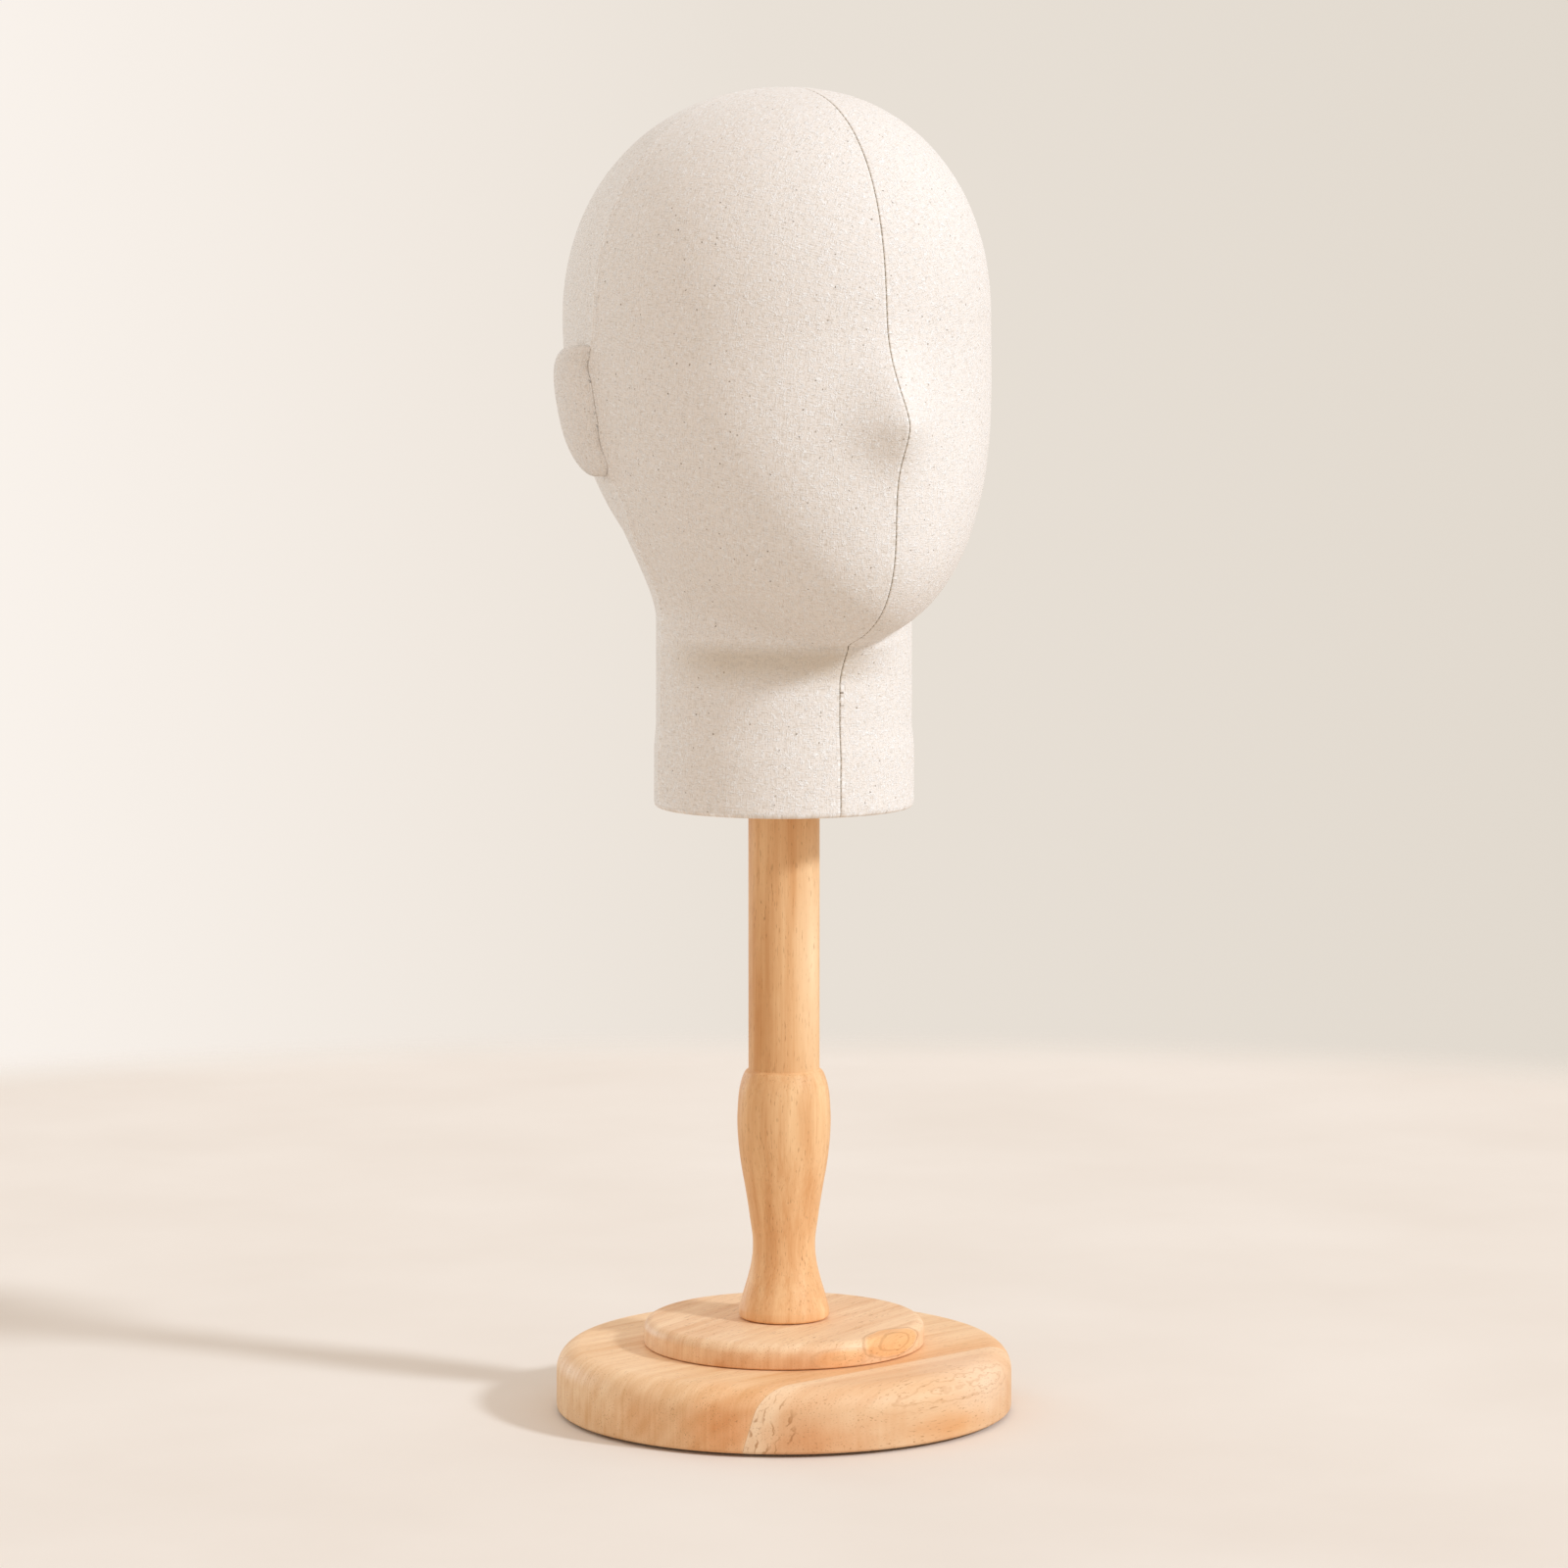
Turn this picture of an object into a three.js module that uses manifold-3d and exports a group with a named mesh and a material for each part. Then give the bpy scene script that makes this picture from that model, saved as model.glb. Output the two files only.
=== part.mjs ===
// A linen covered display head on a turned wooden stand, in millimetres, +Z up, its face along -Y.
// The origin is the middle of the stand's underside, on the axis of the post.
import * as THREE from "three";
import { mergeVertices } from "three/addons/utils/BufferGeometryUtils.js";
import Module from "manifold-3d";

const wasm = await Module();
wasm.setup();

// Clearances
const seat = 0.3; // between two pieces that rest on each other
const runningFit = 0.3; // between the post, the bush and the socket, on the radius
const postMouth = 1.2; // between the post and the linen round it

// Base: two discs, the lower one glued up from a main board and a front board, on a felt pad
const feltThickness = 1;
const feltInset = 4;
const lowerDiscRadius = 90;
const lowerDiscThickness = 25.2;
const lowerDiscRounding = 10;
const lowerDiscFootRounding = 1.5;
const frontBoardWidth = 29.1; // from the rim to the glue joint, on top
const jointAzimuth = -73.5; // degrees from +X of the glue joint's outward side
const jointLean = 13; // degrees that the joint leans in under the disc
const glueLine = 0.3;
const upperDiscRadius = 55.4;
const upperDiscThickness = 9.9;
const upperDiscRounding = 4;
const upperDiscFootRounding = 0.8;

// Fasteners under the base
const boltRadius = 4;
const boltInPost = 28;
const nutFlangeRadius = 9.5;
const nutFlangeThickness = 1.6;
const nutBarrelWall = 1.4;
const nutBarrelLength = 10;
const screwRadius = 2;
const screwHeadRadius = 4;
const screwHeadDepth = 2.4;
const screwInUpperDisc = 6;
const screwCircleRadius = 32;
const screwCount = 3;

// Turned post, heights above its foot
const footRadius = 17.8;
const footHeight = 4; // of the straight part
const footRounding = 1.2;
const waistRadius = 12.3;
const waistHeight = 28.5;
const vaseRadius = 18.4;
const vaseHeight = 80;
const shoulderRadius = 17.1;
const shoulderHeight = 94.5;
const shoulderRimRadius = 15.6; // where the shoulder turns in to the dowel
const shoulderRimHeight = 98;
const shoulderCrease = 1; // height of the step in from that rim to the dowel
const dowelRadius = 14;
const dowelChamfer = 1.5;
const postShowing = 203; // from the post's foot to the neck's lower edge
const postInNeck = 88;

// Bush and socket
const bushWall = 1.6;
const bushCap = 2;
const socketWall = 1.8;
const socketCap = 3;

// Head form, heights above the neck's lower edge, reaches from the axis of the post
const headHeight = 279.5;
const skullLevel = 190; // where the skull is widest
const skullHalfWidth = 80;
const skullFront = 89;
const skullBack = 106;
const skullOffset = 7; // of its widest line behind the post
const skullOffsetFade = 91.4; // the way down from skullLevel over which that offset dies out
const domePower = 2.1; // 2 is an ellipse, more is squarer
const browPower = 2.35;
const jawLevel = 63; // the underside of the jaw
const jawPower = 2.2;
const napeLevel = 97;
const napePower = 2;
const napeDepth = 0.8; // the least reach to the back, as a share of the half width
const chinLevel = 120; // where the face reaches furthest
const chinReach = 97.8;
const chinPower = 3;
const neckRadius = 50;
const throatBlend = 18;
const napeBlend = 20;
const noseReach = 15;
const noseLevel = 152.6;
const noseRise = 20.2;
const noseFall = 15.4;
const noseRisePower = 1.6;
const noseFallPower = 1.8;
const noseHalfWidth = 7.8;
const nosePower = 1.55;
const throatFlare = 7; // how far the throat comes forward under the chin
const throatFlareFrom = 44;
const throatFlareTo = 65;
const throatFlarePower = 1.4;

// Linen cover
const linenThickness = 1.5;
const hemHeight = 28;
const hemThickness = 0.9; // that the turned hem adds
const hemRounding = 1.2;
const seamWidth = 1.2;
const threadWidth = 0.6;
const threadSunk = 0.1; // below the linen

// Side seam: how far it lies behind the axis of the post on its way up, and where it turns
const seamAtHem = 5;
const seamAtJaw = 4;
const seamAboveJaw = -1;
const seamUnderEar = -4;
const seamAtLobe = -1;
const seamBesideEar = 1.5;
const seamAtEarTop = 4;
const seamTurnOverJaw = 41; // above the underside of the jaw
const seamTurnUnderEar = 10; // below the ear
const seamTurnBesideEar = 8.5; // below the ear's middle
const seamTurnAtEarTop = 18.5; // above the ear's middle
const seamTempleRise = 5; // above the skull's widest level

// Ears, sewn into the side seams
const earLevel = 154.5;
const earHalfHeight = 27;
const earReach = 24;
const earThickness = 9;
const earLean = 12; // degrees from straight back
const earTopPower = 3.3;
const earLobePower = 2.25;
const earBluntness = 0.35; // 0 keeps the thickness up to the ends
const earRootGap = 1.6; // the most that its front edge stands back from the seam
const earGapLevel = 0.52; // share of the half height where it does so
const earGapSpread = 0.2;
const earGapEase = 1.6; // the gap closes at this pace along the ear's reach
const earLinenThickness = 1.2;
const tipShrink = 1.5; // how much more the inside of an ear draws in at its ends than at its sides
const rimShrink = 2; // and at its rim

// Board that closes the neck
const neckBoardThickness = 12;

// Levels of the stand
const lowerDiscFoot = feltThickness + seat;
const lowerDiscTop = lowerDiscFoot + lowerDiscThickness;
const upperDiscFoot = lowerDiscTop + seat;
const upperDiscTop = upperDiscFoot + upperDiscThickness;
const postFoot = upperDiscTop + seat;
const neckEdge = postFoot + postShowing;

// Radii of what the post goes into
const bushBore = dowelRadius + runningFit;
const bushRadius = bushBore + bushWall;
const socketBore = bushRadius + runningFit;
const socketRadius = socketBore + socketWall;

// Facets round a turned piece
const fineFacets = 40;
const postFacets = 28;
const smallFacets = 16;

// Finishes
const finish = (color, roughness, metalness = 0) =>
  new THREE.MeshStandardMaterial({ color, roughness, metalness });
const linen = finish("#ebe1d4", 0.95);
const sewingThread = finish("#9a9080", 0.9);
const foam = finish("#efece2", 0.95);
const padding = finish("#f4f1ea", 1);
const plywood = finish("#d8b98c", 0.7);
const mainWood = finish("#e4b27d", 0.5);
const frontWood = finish("#f5d2aa", 0.5);
const bushPlastic = finish("#e8e6e0", 0.5);
const socketCard = finish("#b99f7c", 0.9);
const zincSteel = finish("#b8bcc0", 0.35, 1);
const felt = finish("#4a4038", 1);

// Solids and cuts
function solidOf(geometry) {
  const bare = geometry.index ? geometry.toNonIndexed() : geometry.clone();
  bare.deleteAttribute("normal");
  bare.deleteAttribute("uv");
  const merged = mergeVertices(bare, 1e-4);
  return new wasm.Manifold(
    new wasm.Mesh({
      numProp: 3,
      vertProperties: merged.attributes.position.array,
      triVerts: new Uint32Array(merged.index.array),
    }),
  );
}

function geometryOf(solid) {
  const { vertProperties, triVerts } = solid.getMesh();
  const geometry = new THREE.BufferGeometry();
  geometry.setAttribute("position", new THREE.BufferAttribute(vertProperties, 3));
  geometry.setIndex(new THREE.BufferAttribute(triVerts, 1));
  geometry.computeVertexNormals();
  return geometry;
}

const cut = (geometry, ...tools) =>
  geometryOf(tools.reduce((left, tool) => left.subtract(solidOf(tool)), solidOf(geometry)));

// A turned solid from [radius, height] pairs that climb on its outside
function turned(profile, facets) {
  const points = profile.map(([radius, height]) => new THREE.Vector2(radius, height));
  return new THREE.LatheGeometry(points, facets).rotateX(Math.PI / 2);
}

const rod = (radius, from, to, facets) =>
  turned([[0, from], [radius, from], [radius, to], [0, to]], facets);

// A turned ring or sleeve: it climbs on the outside and comes down on the inside
const sleeve = (inner, outer, from, to, facets) =>
  turned([[inner, from], [outer, from], [outer, to], [inner, to], [inner, from]], facets);

function corner(middleRadius, middleHeight, size, fromDegrees, toDegrees, steps) {
  return Array.from({ length: steps + 1 }, (_, i) => {
    const angle = THREE.MathUtils.degToRad(fromDegrees + ((toDegrees - fromDegrees) * i) / steps);
    return [middleRadius + size * Math.cos(angle), middleHeight + size * Math.sin(angle)];
  });
}

function roundCopies(geometry, radius, count) {
  return Array.from({ length: count }, (_, i) => {
    const angle = (2 * Math.PI * i) / count;
    return geometry.clone().translate(radius * Math.cos(angle), radius * Math.sin(angle), 0);
  });
}

function piece(name, geometry, material) {
  const mesh = new THREE.Mesh(geometry, material);
  mesh.name = name;
  return mesh;
}

// Base discs
function disc(radius, foot, thickness, footRounding, rounding) {
  const top = foot + thickness;
  return turned(
    [
      [0, foot],
      ...corner(radius - footRounding, foot + footRounding, footRounding, -90, 0, 2),
      ...corner(radius - rounding, top - rounding, rounding, 0, 90, 4),
      [0, top],
    ],
    fineFacets,
  );
}

// What lies beyond the glue joint, as a block moved in or out
function beyondJoint(out) {
  const size = 2 * lowerDiscRadius;
  return new THREE.BoxGeometry(size, 2 * size, 2 * size)
    .translate(size / 2, 0, 0)
    .rotateY(THREE.MathUtils.degToRad(jointLean))
    .translate(lowerDiscRadius - frontBoardWidth + out, 0, lowerDiscTop)
    .rotateZ(THREE.MathUtils.degToRad(jointAzimuth));
}

function boards(disc) {
  const whole = solidOf(disc);
  const near = solidOf(beyondJoint(-glueLine / 2));
  const far = solidOf(beyondJoint(glueLine / 2));
  return { main: geometryOf(whole.subtract(near)), front: geometryOf(whole.intersect(far)) };
}

const nutFoot = lowerDiscFoot;
const nutBore = boltRadius + seat;
const nutBarrelRadius = nutBore + nutBarrelWall;
const nutTop = nutFoot + nutBarrelLength;
const boltFoot = nutFoot + nutFlangeThickness;
const boltTop = postFoot + boltInPost;
const screwFoot = lowerDiscFoot;
const screwTop = upperDiscFoot + screwInUpperDisc;

function screwForm(clearance) {
  const shank = screwRadius + clearance;
  const top = screwTop + clearance;
  return turned(
    [
      [0, screwFoot],
      [screwHeadRadius + clearance, screwFoot],
      [shank, screwFoot + screwHeadDepth + clearance],
      [shank, top - screwRadius],
      [0, top],
    ],
    smallFacets,
  );
}

const screws = roundCopies(screwForm(0), screwCircleRadius, screwCount);
const screwHoles = roundCopies(screwForm(seat), screwCircleRadius, screwCount);
const boltHole = rod(boltRadius + seat, boltFoot - seat, boltTop + seat, smallFacets);
const nutHole = turned(
  [
    [0, nutFoot - seat],
    [nutFlangeRadius + seat, nutFoot - seat],
    [nutFlangeRadius + seat, nutFoot + nutFlangeThickness + seat],
    [nutBarrelRadius + seat, nutFoot + nutFlangeThickness + seat],
    [nutBarrelRadius + seat, nutTop + seat],
    [0, nutTop + seat],
  ],
  postFacets,
);

const lowerBoards = boards(
  cut(
    disc(
      lowerDiscRadius,
      lowerDiscFoot,
      lowerDiscThickness,
      lowerDiscFootRounding,
      lowerDiscRounding,
    ),
    nutHole,
    boltHole,
    ...screwHoles,
  ),
);
const upperDisc = cut(
  disc(
    upperDiscRadius,
    upperDiscFoot,
    upperDiscThickness,
    upperDiscFootRounding,
    upperDiscRounding,
  ),
  boltHole,
  ...screwHoles,
);

const insertNut = turned(
  [
    [nutBore, nutFoot],
    [nutFlangeRadius, nutFoot],
    [nutFlangeRadius, nutFoot + nutFlangeThickness],
    [nutBarrelRadius, nutFoot + nutFlangeThickness],
    [nutBarrelRadius, nutTop],
    [nutBore, nutTop],
    [nutBore, nutFoot],
  ],
  postFacets,
);
const hangerBolt = turned(
  [
    [0, boltFoot],
    [boltRadius, boltFoot],
    [boltRadius, boltTop - boltRadius],
    [0, boltTop],
  ],
  smallFacets,
);

// Post: a foot, a waist, a vase and a shoulder below a plain dowel
function postForm() {
  const body = new THREE.SplineCurve([
    new THREE.Vector2(footRadius, footHeight),
    new THREE.Vector2((footRadius + waistRadius) / 2, waistHeight / 2),
    new THREE.Vector2(waistRadius, waistHeight),
    new THREE.Vector2((waistRadius + vaseRadius) / 2, (waistHeight + vaseHeight) / 2),
    new THREE.Vector2(vaseRadius, vaseHeight),
    new THREE.Vector2(shoulderRadius, shoulderHeight),
    new THREE.Vector2(shoulderRimRadius, shoulderRimHeight),
  ]);
  const top = postShowing + postInNeck;
  const profile = [
    [0, 0],
    [footRadius - footRounding, 0],
    [footRadius, footRounding],
    ...body.getPoints(15).map((p) => [p.x, p.y]),
    [dowelRadius, shoulderRimHeight + shoulderCrease],
    [dowelRadius, top - dowelChamfer],
    [dowelRadius - dowelChamfer, top],
    [0, top],
  ];
  return turned(profile, postFacets).translate(0, 0, postFoot);
}

// Share of a squared ellipse's width that is left at t of the way to its end
const taper = (t, power) => (1 - THREE.MathUtils.clamp(t, 0, 1) ** power) ** (1 / power);
const smooth = (t) => THREE.MathUtils.smoothstep(t, 0, 1);

// The larger of two values, with a fillet where they are within blend of each other
function larger(a, b, blend) {
  const near = Math.max(blend - Math.abs(a - b), 0) / blend;
  return Math.max(a, b) + (near * near * blend) / 4;
}

// The skull's half width and its reaches to the front and back at a height
function skullAt(height) {
  const up = (height - skullLevel) / (headHeight - skullLevel);
  const down = skullLevel - height;
  if (up >= 0) {
    return {
      side: skullHalfWidth * taper(up, domePower),
      front: skullFront * taper(up, browPower),
      back: skullBack * taper(up, domePower),
      middle: skullOffset * taper(up, 2),
    };
  }
  const side = skullHalfWidth * taper(down / (skullLevel - jawLevel), jawPower);
  const cheek = THREE.MathUtils.lerp(skullFront, chinReach, smooth(down / (skullLevel - chinLevel)));
  const chin = taper((chinLevel - height) / (chinLevel - jawLevel), chinPower);
  const back = skullBack * taper(down / (skullLevel - napeLevel), napePower);
  return {
    side,
    front: cheek * chin,
    back: Math.max(back, side * napeDepth),
    middle: skullOffset * smooth(1 - down / skullOffsetFade),
  };
}

// A point of the bare head at an angle from the face (0 front, 90 the left ear, 180 back), in radians
function barePoint(angle, height) {
  const { side, front, back, middle } = skullAt(height);
  const sin = Math.sin(angle);
  const cos = Math.cos(angle);
  const least = 1e-6;
  const depth = Math.max(cos > 0 ? front + middle : back - middle, least);
  const skull = 1 / Math.hypot(sin / Math.max(side, least), cos / depth);
  const facing = Math.cos(Math.min(Math.abs(2 * Math.atan2(sin, cos)), Math.PI / 2)) ** 2;
  const rise = (height - throatFlareFrom) / (throatFlareTo - throatFlareFrom);
  const flare = throatFlare * facing * THREE.MathUtils.clamp(rise, 0, 1) ** throatFlarePower;
  const neck = middle * cos + Math.sqrt(neckRadius ** 2 - (middle * sin) ** 2) + flare;
  const blend = THREE.MathUtils.lerp(throatBlend, napeBlend, (1 - cos) / 2);
  let reach = height < skullLevel ? larger(skull, neck, blend) : skull;
  if (cos > 0) {
    const above = height - noseLevel;
    const alongNose =
      above > 0 ? (above / noseRise) ** noseRisePower : (-above / noseFall) ** noseFallPower;
    const acrossNose = Math.abs((reach * sin) / noseHalfWidth) ** nosePower / 2;
    reach += noseReach * Math.exp(-alongNose - acrossNose);
  }
  return new THREE.Vector3(reach * sin, middle - reach * cos, height);
}

// The same point moved out along the surface's normal
function headPoint(angle, height, out) {
  const point = barePoint(angle, height);
  const step = 0.01;
  const round = barePoint(angle + step, height).sub(barePoint(angle - step, height));
  const rise = barePoint(angle, Math.min(height + step, headHeight - step)).sub(
    barePoint(angle, Math.max(height - step, 0)),
  );
  const normal = round.cross(rise).normalize();
  return point.addScaledVector(normal, out);
}

// How far the linen's outside stands out or in at a height, for the turned hem
function hemAt(height) {
  if (height > hemHeight) return 0;
  return hemThickness - hemRounding * Math.max(0, 1 - height / hemRounding);
}

// The side seam's place behind the post at a height: down from the crown, round the ear, to the neck
const seamPath = new THREE.SplineCurve([
  new THREE.Vector2(seamAtHem, 0),
  new THREE.Vector2(seamAtJaw, jawLevel),
  new THREE.Vector2(seamAboveJaw, jawLevel + seamTurnOverJaw),
  new THREE.Vector2(seamUnderEar, earLevel - earHalfHeight - seamTurnUnderEar),
  new THREE.Vector2(seamAtLobe, earLevel - earHalfHeight),
  new THREE.Vector2(seamBesideEar, earLevel - seamTurnBesideEar),
  new THREE.Vector2(seamAtEarTop, earLevel + seamTurnAtEarTop),
  new THREE.Vector2(0, skullLevel + seamTempleRise),
  new THREE.Vector2(0, headHeight),
]);
const seamPlaces = seamPath.getPoints(90);

function seamBehind(height) {
  const next = Math.max(1, seamPlaces.findIndex((p) => p.y >= height));
  const [low, high] = [seamPlaces[next - 1], seamPlaces[next]];
  return THREE.MathUtils.lerp(low.x, high.x, (height - low.y) / (high.y - low.y));
}

function sideSeamAngle(height) {
  let angle = Math.PI / 2;
  const { middle } = skullAt(height);
  for (let i = 0; i < 6; i += 1) {
    const point = barePoint(angle, height);
    const reach = Math.hypot(point.x, point.y - middle);
    angle = Math.acos(THREE.MathUtils.clamp((middle - seamBehind(height)) / reach, -1, 1));
  }
  return angle;
}

// Heights of the rows of the head's surface, from the crown down to the neck's edge
const domeRows = [84, 75, 64, 53, 41, 28, 14].map(
  (degrees) => skullLevel + (headHeight - skullLevel) * Math.sin(THREE.MathUtils.degToRad(degrees)),
);
const noseRows = [1.3, 0.6, 0].map((share) => noseLevel + noseRise * share);
const lipRows = [0.5, 1.1, 1.9].map((share) => noseLevel - noseFall * share);
const underChin = 6; // the first of the chin's rows below its level
const chinRows = [1, 0.76, 0.54, 0.38, 0.25, 0.13, 0.03, -0.12, -0.36].map(
  (share) => jawLevel + (chinLevel - underChin - jawLevel) * share,
);
const hemRows = [hemHeight + 1, hemHeight, hemRounding, 0];
const rows = [...domeRows, skullLevel, ...noseRows, ...lipRows, ...chinRows, ...hemRows];

// Columns from the centre line to the side seam, closer together at the nose, as shares
const faceSteps = 8;
const backSteps = 6;
const faceColumns = Array.from({ length: faceSteps + 1 }, (_, i) => (i / faceSteps) ** 1.5);
const backColumns = Array.from({ length: backSteps + 1 }, (_, i) => i / backSteps);

// The angles of one panel's columns at a height, inside its seams: end is -1 for the face, 1 for the back
function panelAngles(height, end) {
  const seam = sideSeamAngle(height);
  const clear = (angle) => {
    const point = barePoint(angle, height);
    return seamWidth / 2 / Math.hypot(point.x, point.y);
  };
  const from = end < 0 ? clear(0) : seam + clear(seam);
  const to = end < 0 ? seam - clear(seam) : Math.PI - clear(Math.PI);
  return (end < 0 ? faceColumns : backColumns).map((share) => THREE.MathUtils.lerp(from, to, share));
}

// A closed body from rings of points that run from one end to the other, each end brought to a tip
// Where it is mirrored, the second half of each ring has its diagonals the other way
function lofted(rings, { firstTip, lastTip, mirrored = false } = {}) {
  const points = rings.flat();
  const count = rings[0].length;
  const faces = [];
  for (let i = 0; i + 1 < rings.length; i += 1) {
    for (let j = 0; j < count; j += 1) {
      const [a, b] = [i * count + j, i * count + ((j + 1) % count)];
      if (mirrored && j >= count / 2) faces.push(a, b, a + count, b, b + count, a + count);
      else faces.push(a, b, b + count, a, b + count, a + count);
    }
  }
  const close = (tip, start, reversed) => {
    const at = points.push(tip) - 1;
    for (let j = 0; j < count; j += 1) {
      const [a, b] = [start + j, start + ((j + 1) % count)];
      faces.push(...(reversed ? [at, b, a] : [at, a, b]));
    }
  };
  const middleOf = (ring) =>
    ring.reduce((sum, p) => sum.add(p), new THREE.Vector3()).divideScalar(ring.length);
  close(firstTip ?? middleOf(rings[0]), 0, true);
  close(lastTip ?? middleOf(rings.at(-1)), (rings.length - 1) * count, false);
  return surface(points, faces);
}

function surface(points, faces) {
  const geometry = new THREE.BufferGeometry();
  geometry.setAttribute(
    "position",
    new THREE.Float32BufferAttribute(points.flatMap((p) => [p.x, p.y, p.z]), 3),
  );
  geometry.setIndex(faces);
  const solid = solidOf(geometry);
  if (solid.volume() > 0) return geometryOf(solid);
  const flipped = [];
  for (let i = 0; i < faces.length; i += 3) flipped.push(faces[i], faces[i + 2], faces[i + 1]);
  geometry.setIndex(flipped);
  return geometryOf(solidOf(geometry));
}

// The whole head's form, moved out or in, from a height up
function headForm(out, from) {
  const levels = [...rows.filter((height) => height > from + 1), from];
  const rings = levels.map((height) => {
    const left = [...panelAngles(height, -1), ...panelAngles(height, 1)];
    const right = left.toReversed().map((angle) => -angle);
    return [...left, ...right].map((angle) => headPoint(angle, height, out));
  });
  return lofted(rings, { firstTip: new THREE.Vector3(0, 0, headHeight + out), mirrored: true });
}

// One linen panel, between the centre line and a side seam: side is 1 for the left, end is -1 for the face
function panel(side, end) {
  const apex = new THREE.Vector3((side * seamWidth) / 2, (end * seamWidth) / 2, headHeight);
  const layer = (isOuter) =>
    rows.map((height) => {
      const out = isOuter ? hemAt(height) : -linenThickness;
      return panelAngles(height, end).map((angle) => headPoint(side * angle, height, out));
    });
  const tip = (out) => apex.clone().setZ(headHeight + out);
  return sheet(layer(true), layer(false), tip(0), tip(-linenThickness));
}

// A closed sheet between an outer and an inner grid of rows, which both start at a tip
function sheet(outer, inner, outerTip, innerTip) {
  const width = outer[0].length;
  const points = [outerTip, innerTip, ...outer.flat(), ...inner.flat()];
  const outerAt = (i, j) => 2 + i * width + j;
  const innerAt = (i, j) => outerAt(i, j) + outer.length * width;
  const faces = [];
  const quad = (a, b, c, d) => faces.push(a, b, c, a, c, d);
  for (let j = 0; j + 1 < width; j += 1) {
    faces.push(0, outerAt(0, j), outerAt(0, j + 1), 1, innerAt(0, j + 1), innerAt(0, j));
    for (let i = 0; i + 1 < outer.length; i += 1) {
      quad(outerAt(i, j), outerAt(i + 1, j), outerAt(i + 1, j + 1), outerAt(i, j + 1));
      quad(innerAt(i, j), innerAt(i, j + 1), innerAt(i + 1, j + 1), innerAt(i + 1, j));
    }
    const last = outer.length - 1;
    quad(outerAt(last, j), innerAt(last, j), innerAt(last, j + 1), outerAt(last, j + 1));
  }
  for (const [j, flip] of [[0, false], [width - 1, true]]) {
    const edge = [[0, 1], ...outer.map((_, i) => [outerAt(i, j), innerAt(i, j)])];
    for (let i = 0; i + 1 < edge.length; i += 1) {
      const [[a, b], [c, d]] = [edge[i], edge[i + 1]];
      if (flip) quad(a, c, d, b);
      else quad(a, b, d, c);
    }
  }
  return surface(points, faces);
}

// The row of stitches that fills a seam, at an angle that may change with height
function seamThread(angleAt, crownX, crownY) {
  const top = -threadSunk;
  const foot = -linenThickness + seat / 2;
  const start = 2 * seamWidth;
  const ring = (place) => [
    place(-1, top),
    place(1, top),
    place(1, foot),
    place(-1, foot),
  ];
  const across = new THREE.Vector3(-crownY, crownX, 0).multiplyScalar(threadWidth / 2);
  const crown = (sign, out) =>
    new THREE.Vector3(crownX * start, crownY * start, headHeight + out).addScaledVector(across, sign);
  const rings = rows.map((height) => {
    const angle = angleAt(height);
    const bare = barePoint(angle, height);
    const half = threadWidth / 2 / Math.hypot(bare.x, bare.y);
    return ring((sign, out) => headPoint(angle + sign * half, height, out));
  });
  return lofted([ring(crown), ...rings]);
}

// An ear's section, from the seam round its rim and back into the head: shares of reach and half thickness
const earOutline = [
  [0, -0.1],
  [0.04, 0.4],
  [0.12, 0.8],
  [0.28, 1.08],
  [0.5, 1.12],
  [0.74, 0.95],
  [0.92, 0.55],
  [1, 0],
  [0.95, -0.45],
  [0.8, -0.8],
  [0.5, -1.1],
  [0, -1.4],
];

// An ear's form: it stands on the side seam and leans out; side is 1 for the left
function earForm(side, shrink) {
  const lean = THREE.MathUtils.degToRad(earLean);
  const back = new THREE.Vector3(side * Math.sin(lean), Math.cos(lean), 0);
  const out = new THREE.Vector3(side * Math.cos(lean), -Math.sin(lean), 0);
  const halfHeight = earHalfHeight - tipShrink * shrink;
  const rootAt = (height) => barePoint(side * sideSeamAngle(height), height);
  const place = (height, along, across) =>
    rootAt(height).addScaledVector(back, along).addScaledVector(out, across);
  const levels = [-74, -56, -38, -19, 0, 19, 38, 56, 74].map((degrees) =>
    Math.sin(THREE.MathUtils.degToRad(degrees)),
  );
  const rings = levels.map((level) => {
    const left = taper(Math.abs(level), level > 0 ? earTopPower : earLobePower);
    const reach = earReach * left - rimShrink * shrink;
    const half = (earThickness / 2 - shrink) * left ** earBluntness;
    const gap = earRootGap * Math.exp(-(((Math.abs(level) - earGapLevel) / earGapSpread) ** 2));
    return earOutline.map(([along, across]) => {
      const standsBack = shrink + along * reach + gap * Math.max(1 - earGapEase * along, 0);
      return place(earLevel + level * halfHeight, standsBack, across * half);
    });
  });
  return lofted(rings, {
    firstTip: place(earLevel - halfHeight, rimShrink * shrink, -shrink),
    lastTip: place(earLevel + halfHeight, rimShrink * shrink, -shrink),
  });
}

const headRoom = headForm(seat, hemHeight + 1);

function ear(side) {
  const whole = earForm(side, 0);
  const inside = earForm(side, earLinenThickness);
  const filling = earForm(side, earLinenThickness + 2 * seat);
  return { cover: cut(whole, inside, headRoom), filling: cut(filling, headRoom) };
}

// Head: everything that lifts off the post and turns with the face
const coverTop = linenThickness;
const boardFoot = coverTop + seat;
const boardTop = boardFoot + neckBoardThickness;
const coreFoot = boardTop + seat;
const insideLinen = linenThickness + seat;
const bushFoot = boardFoot;
const bushTop = postInNeck + seat + bushCap;
const socketTop = bushTop + seat + socketCap;

const head = new THREE.Group();
head.position.z = neckEdge;

const socketHole = rod(socketRadius + seat, 0, socketTop + seat, postFacets);
head.add(piece("head_core", cut(headForm(-insideLinen, coreFoot), socketHole), foam));

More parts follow.
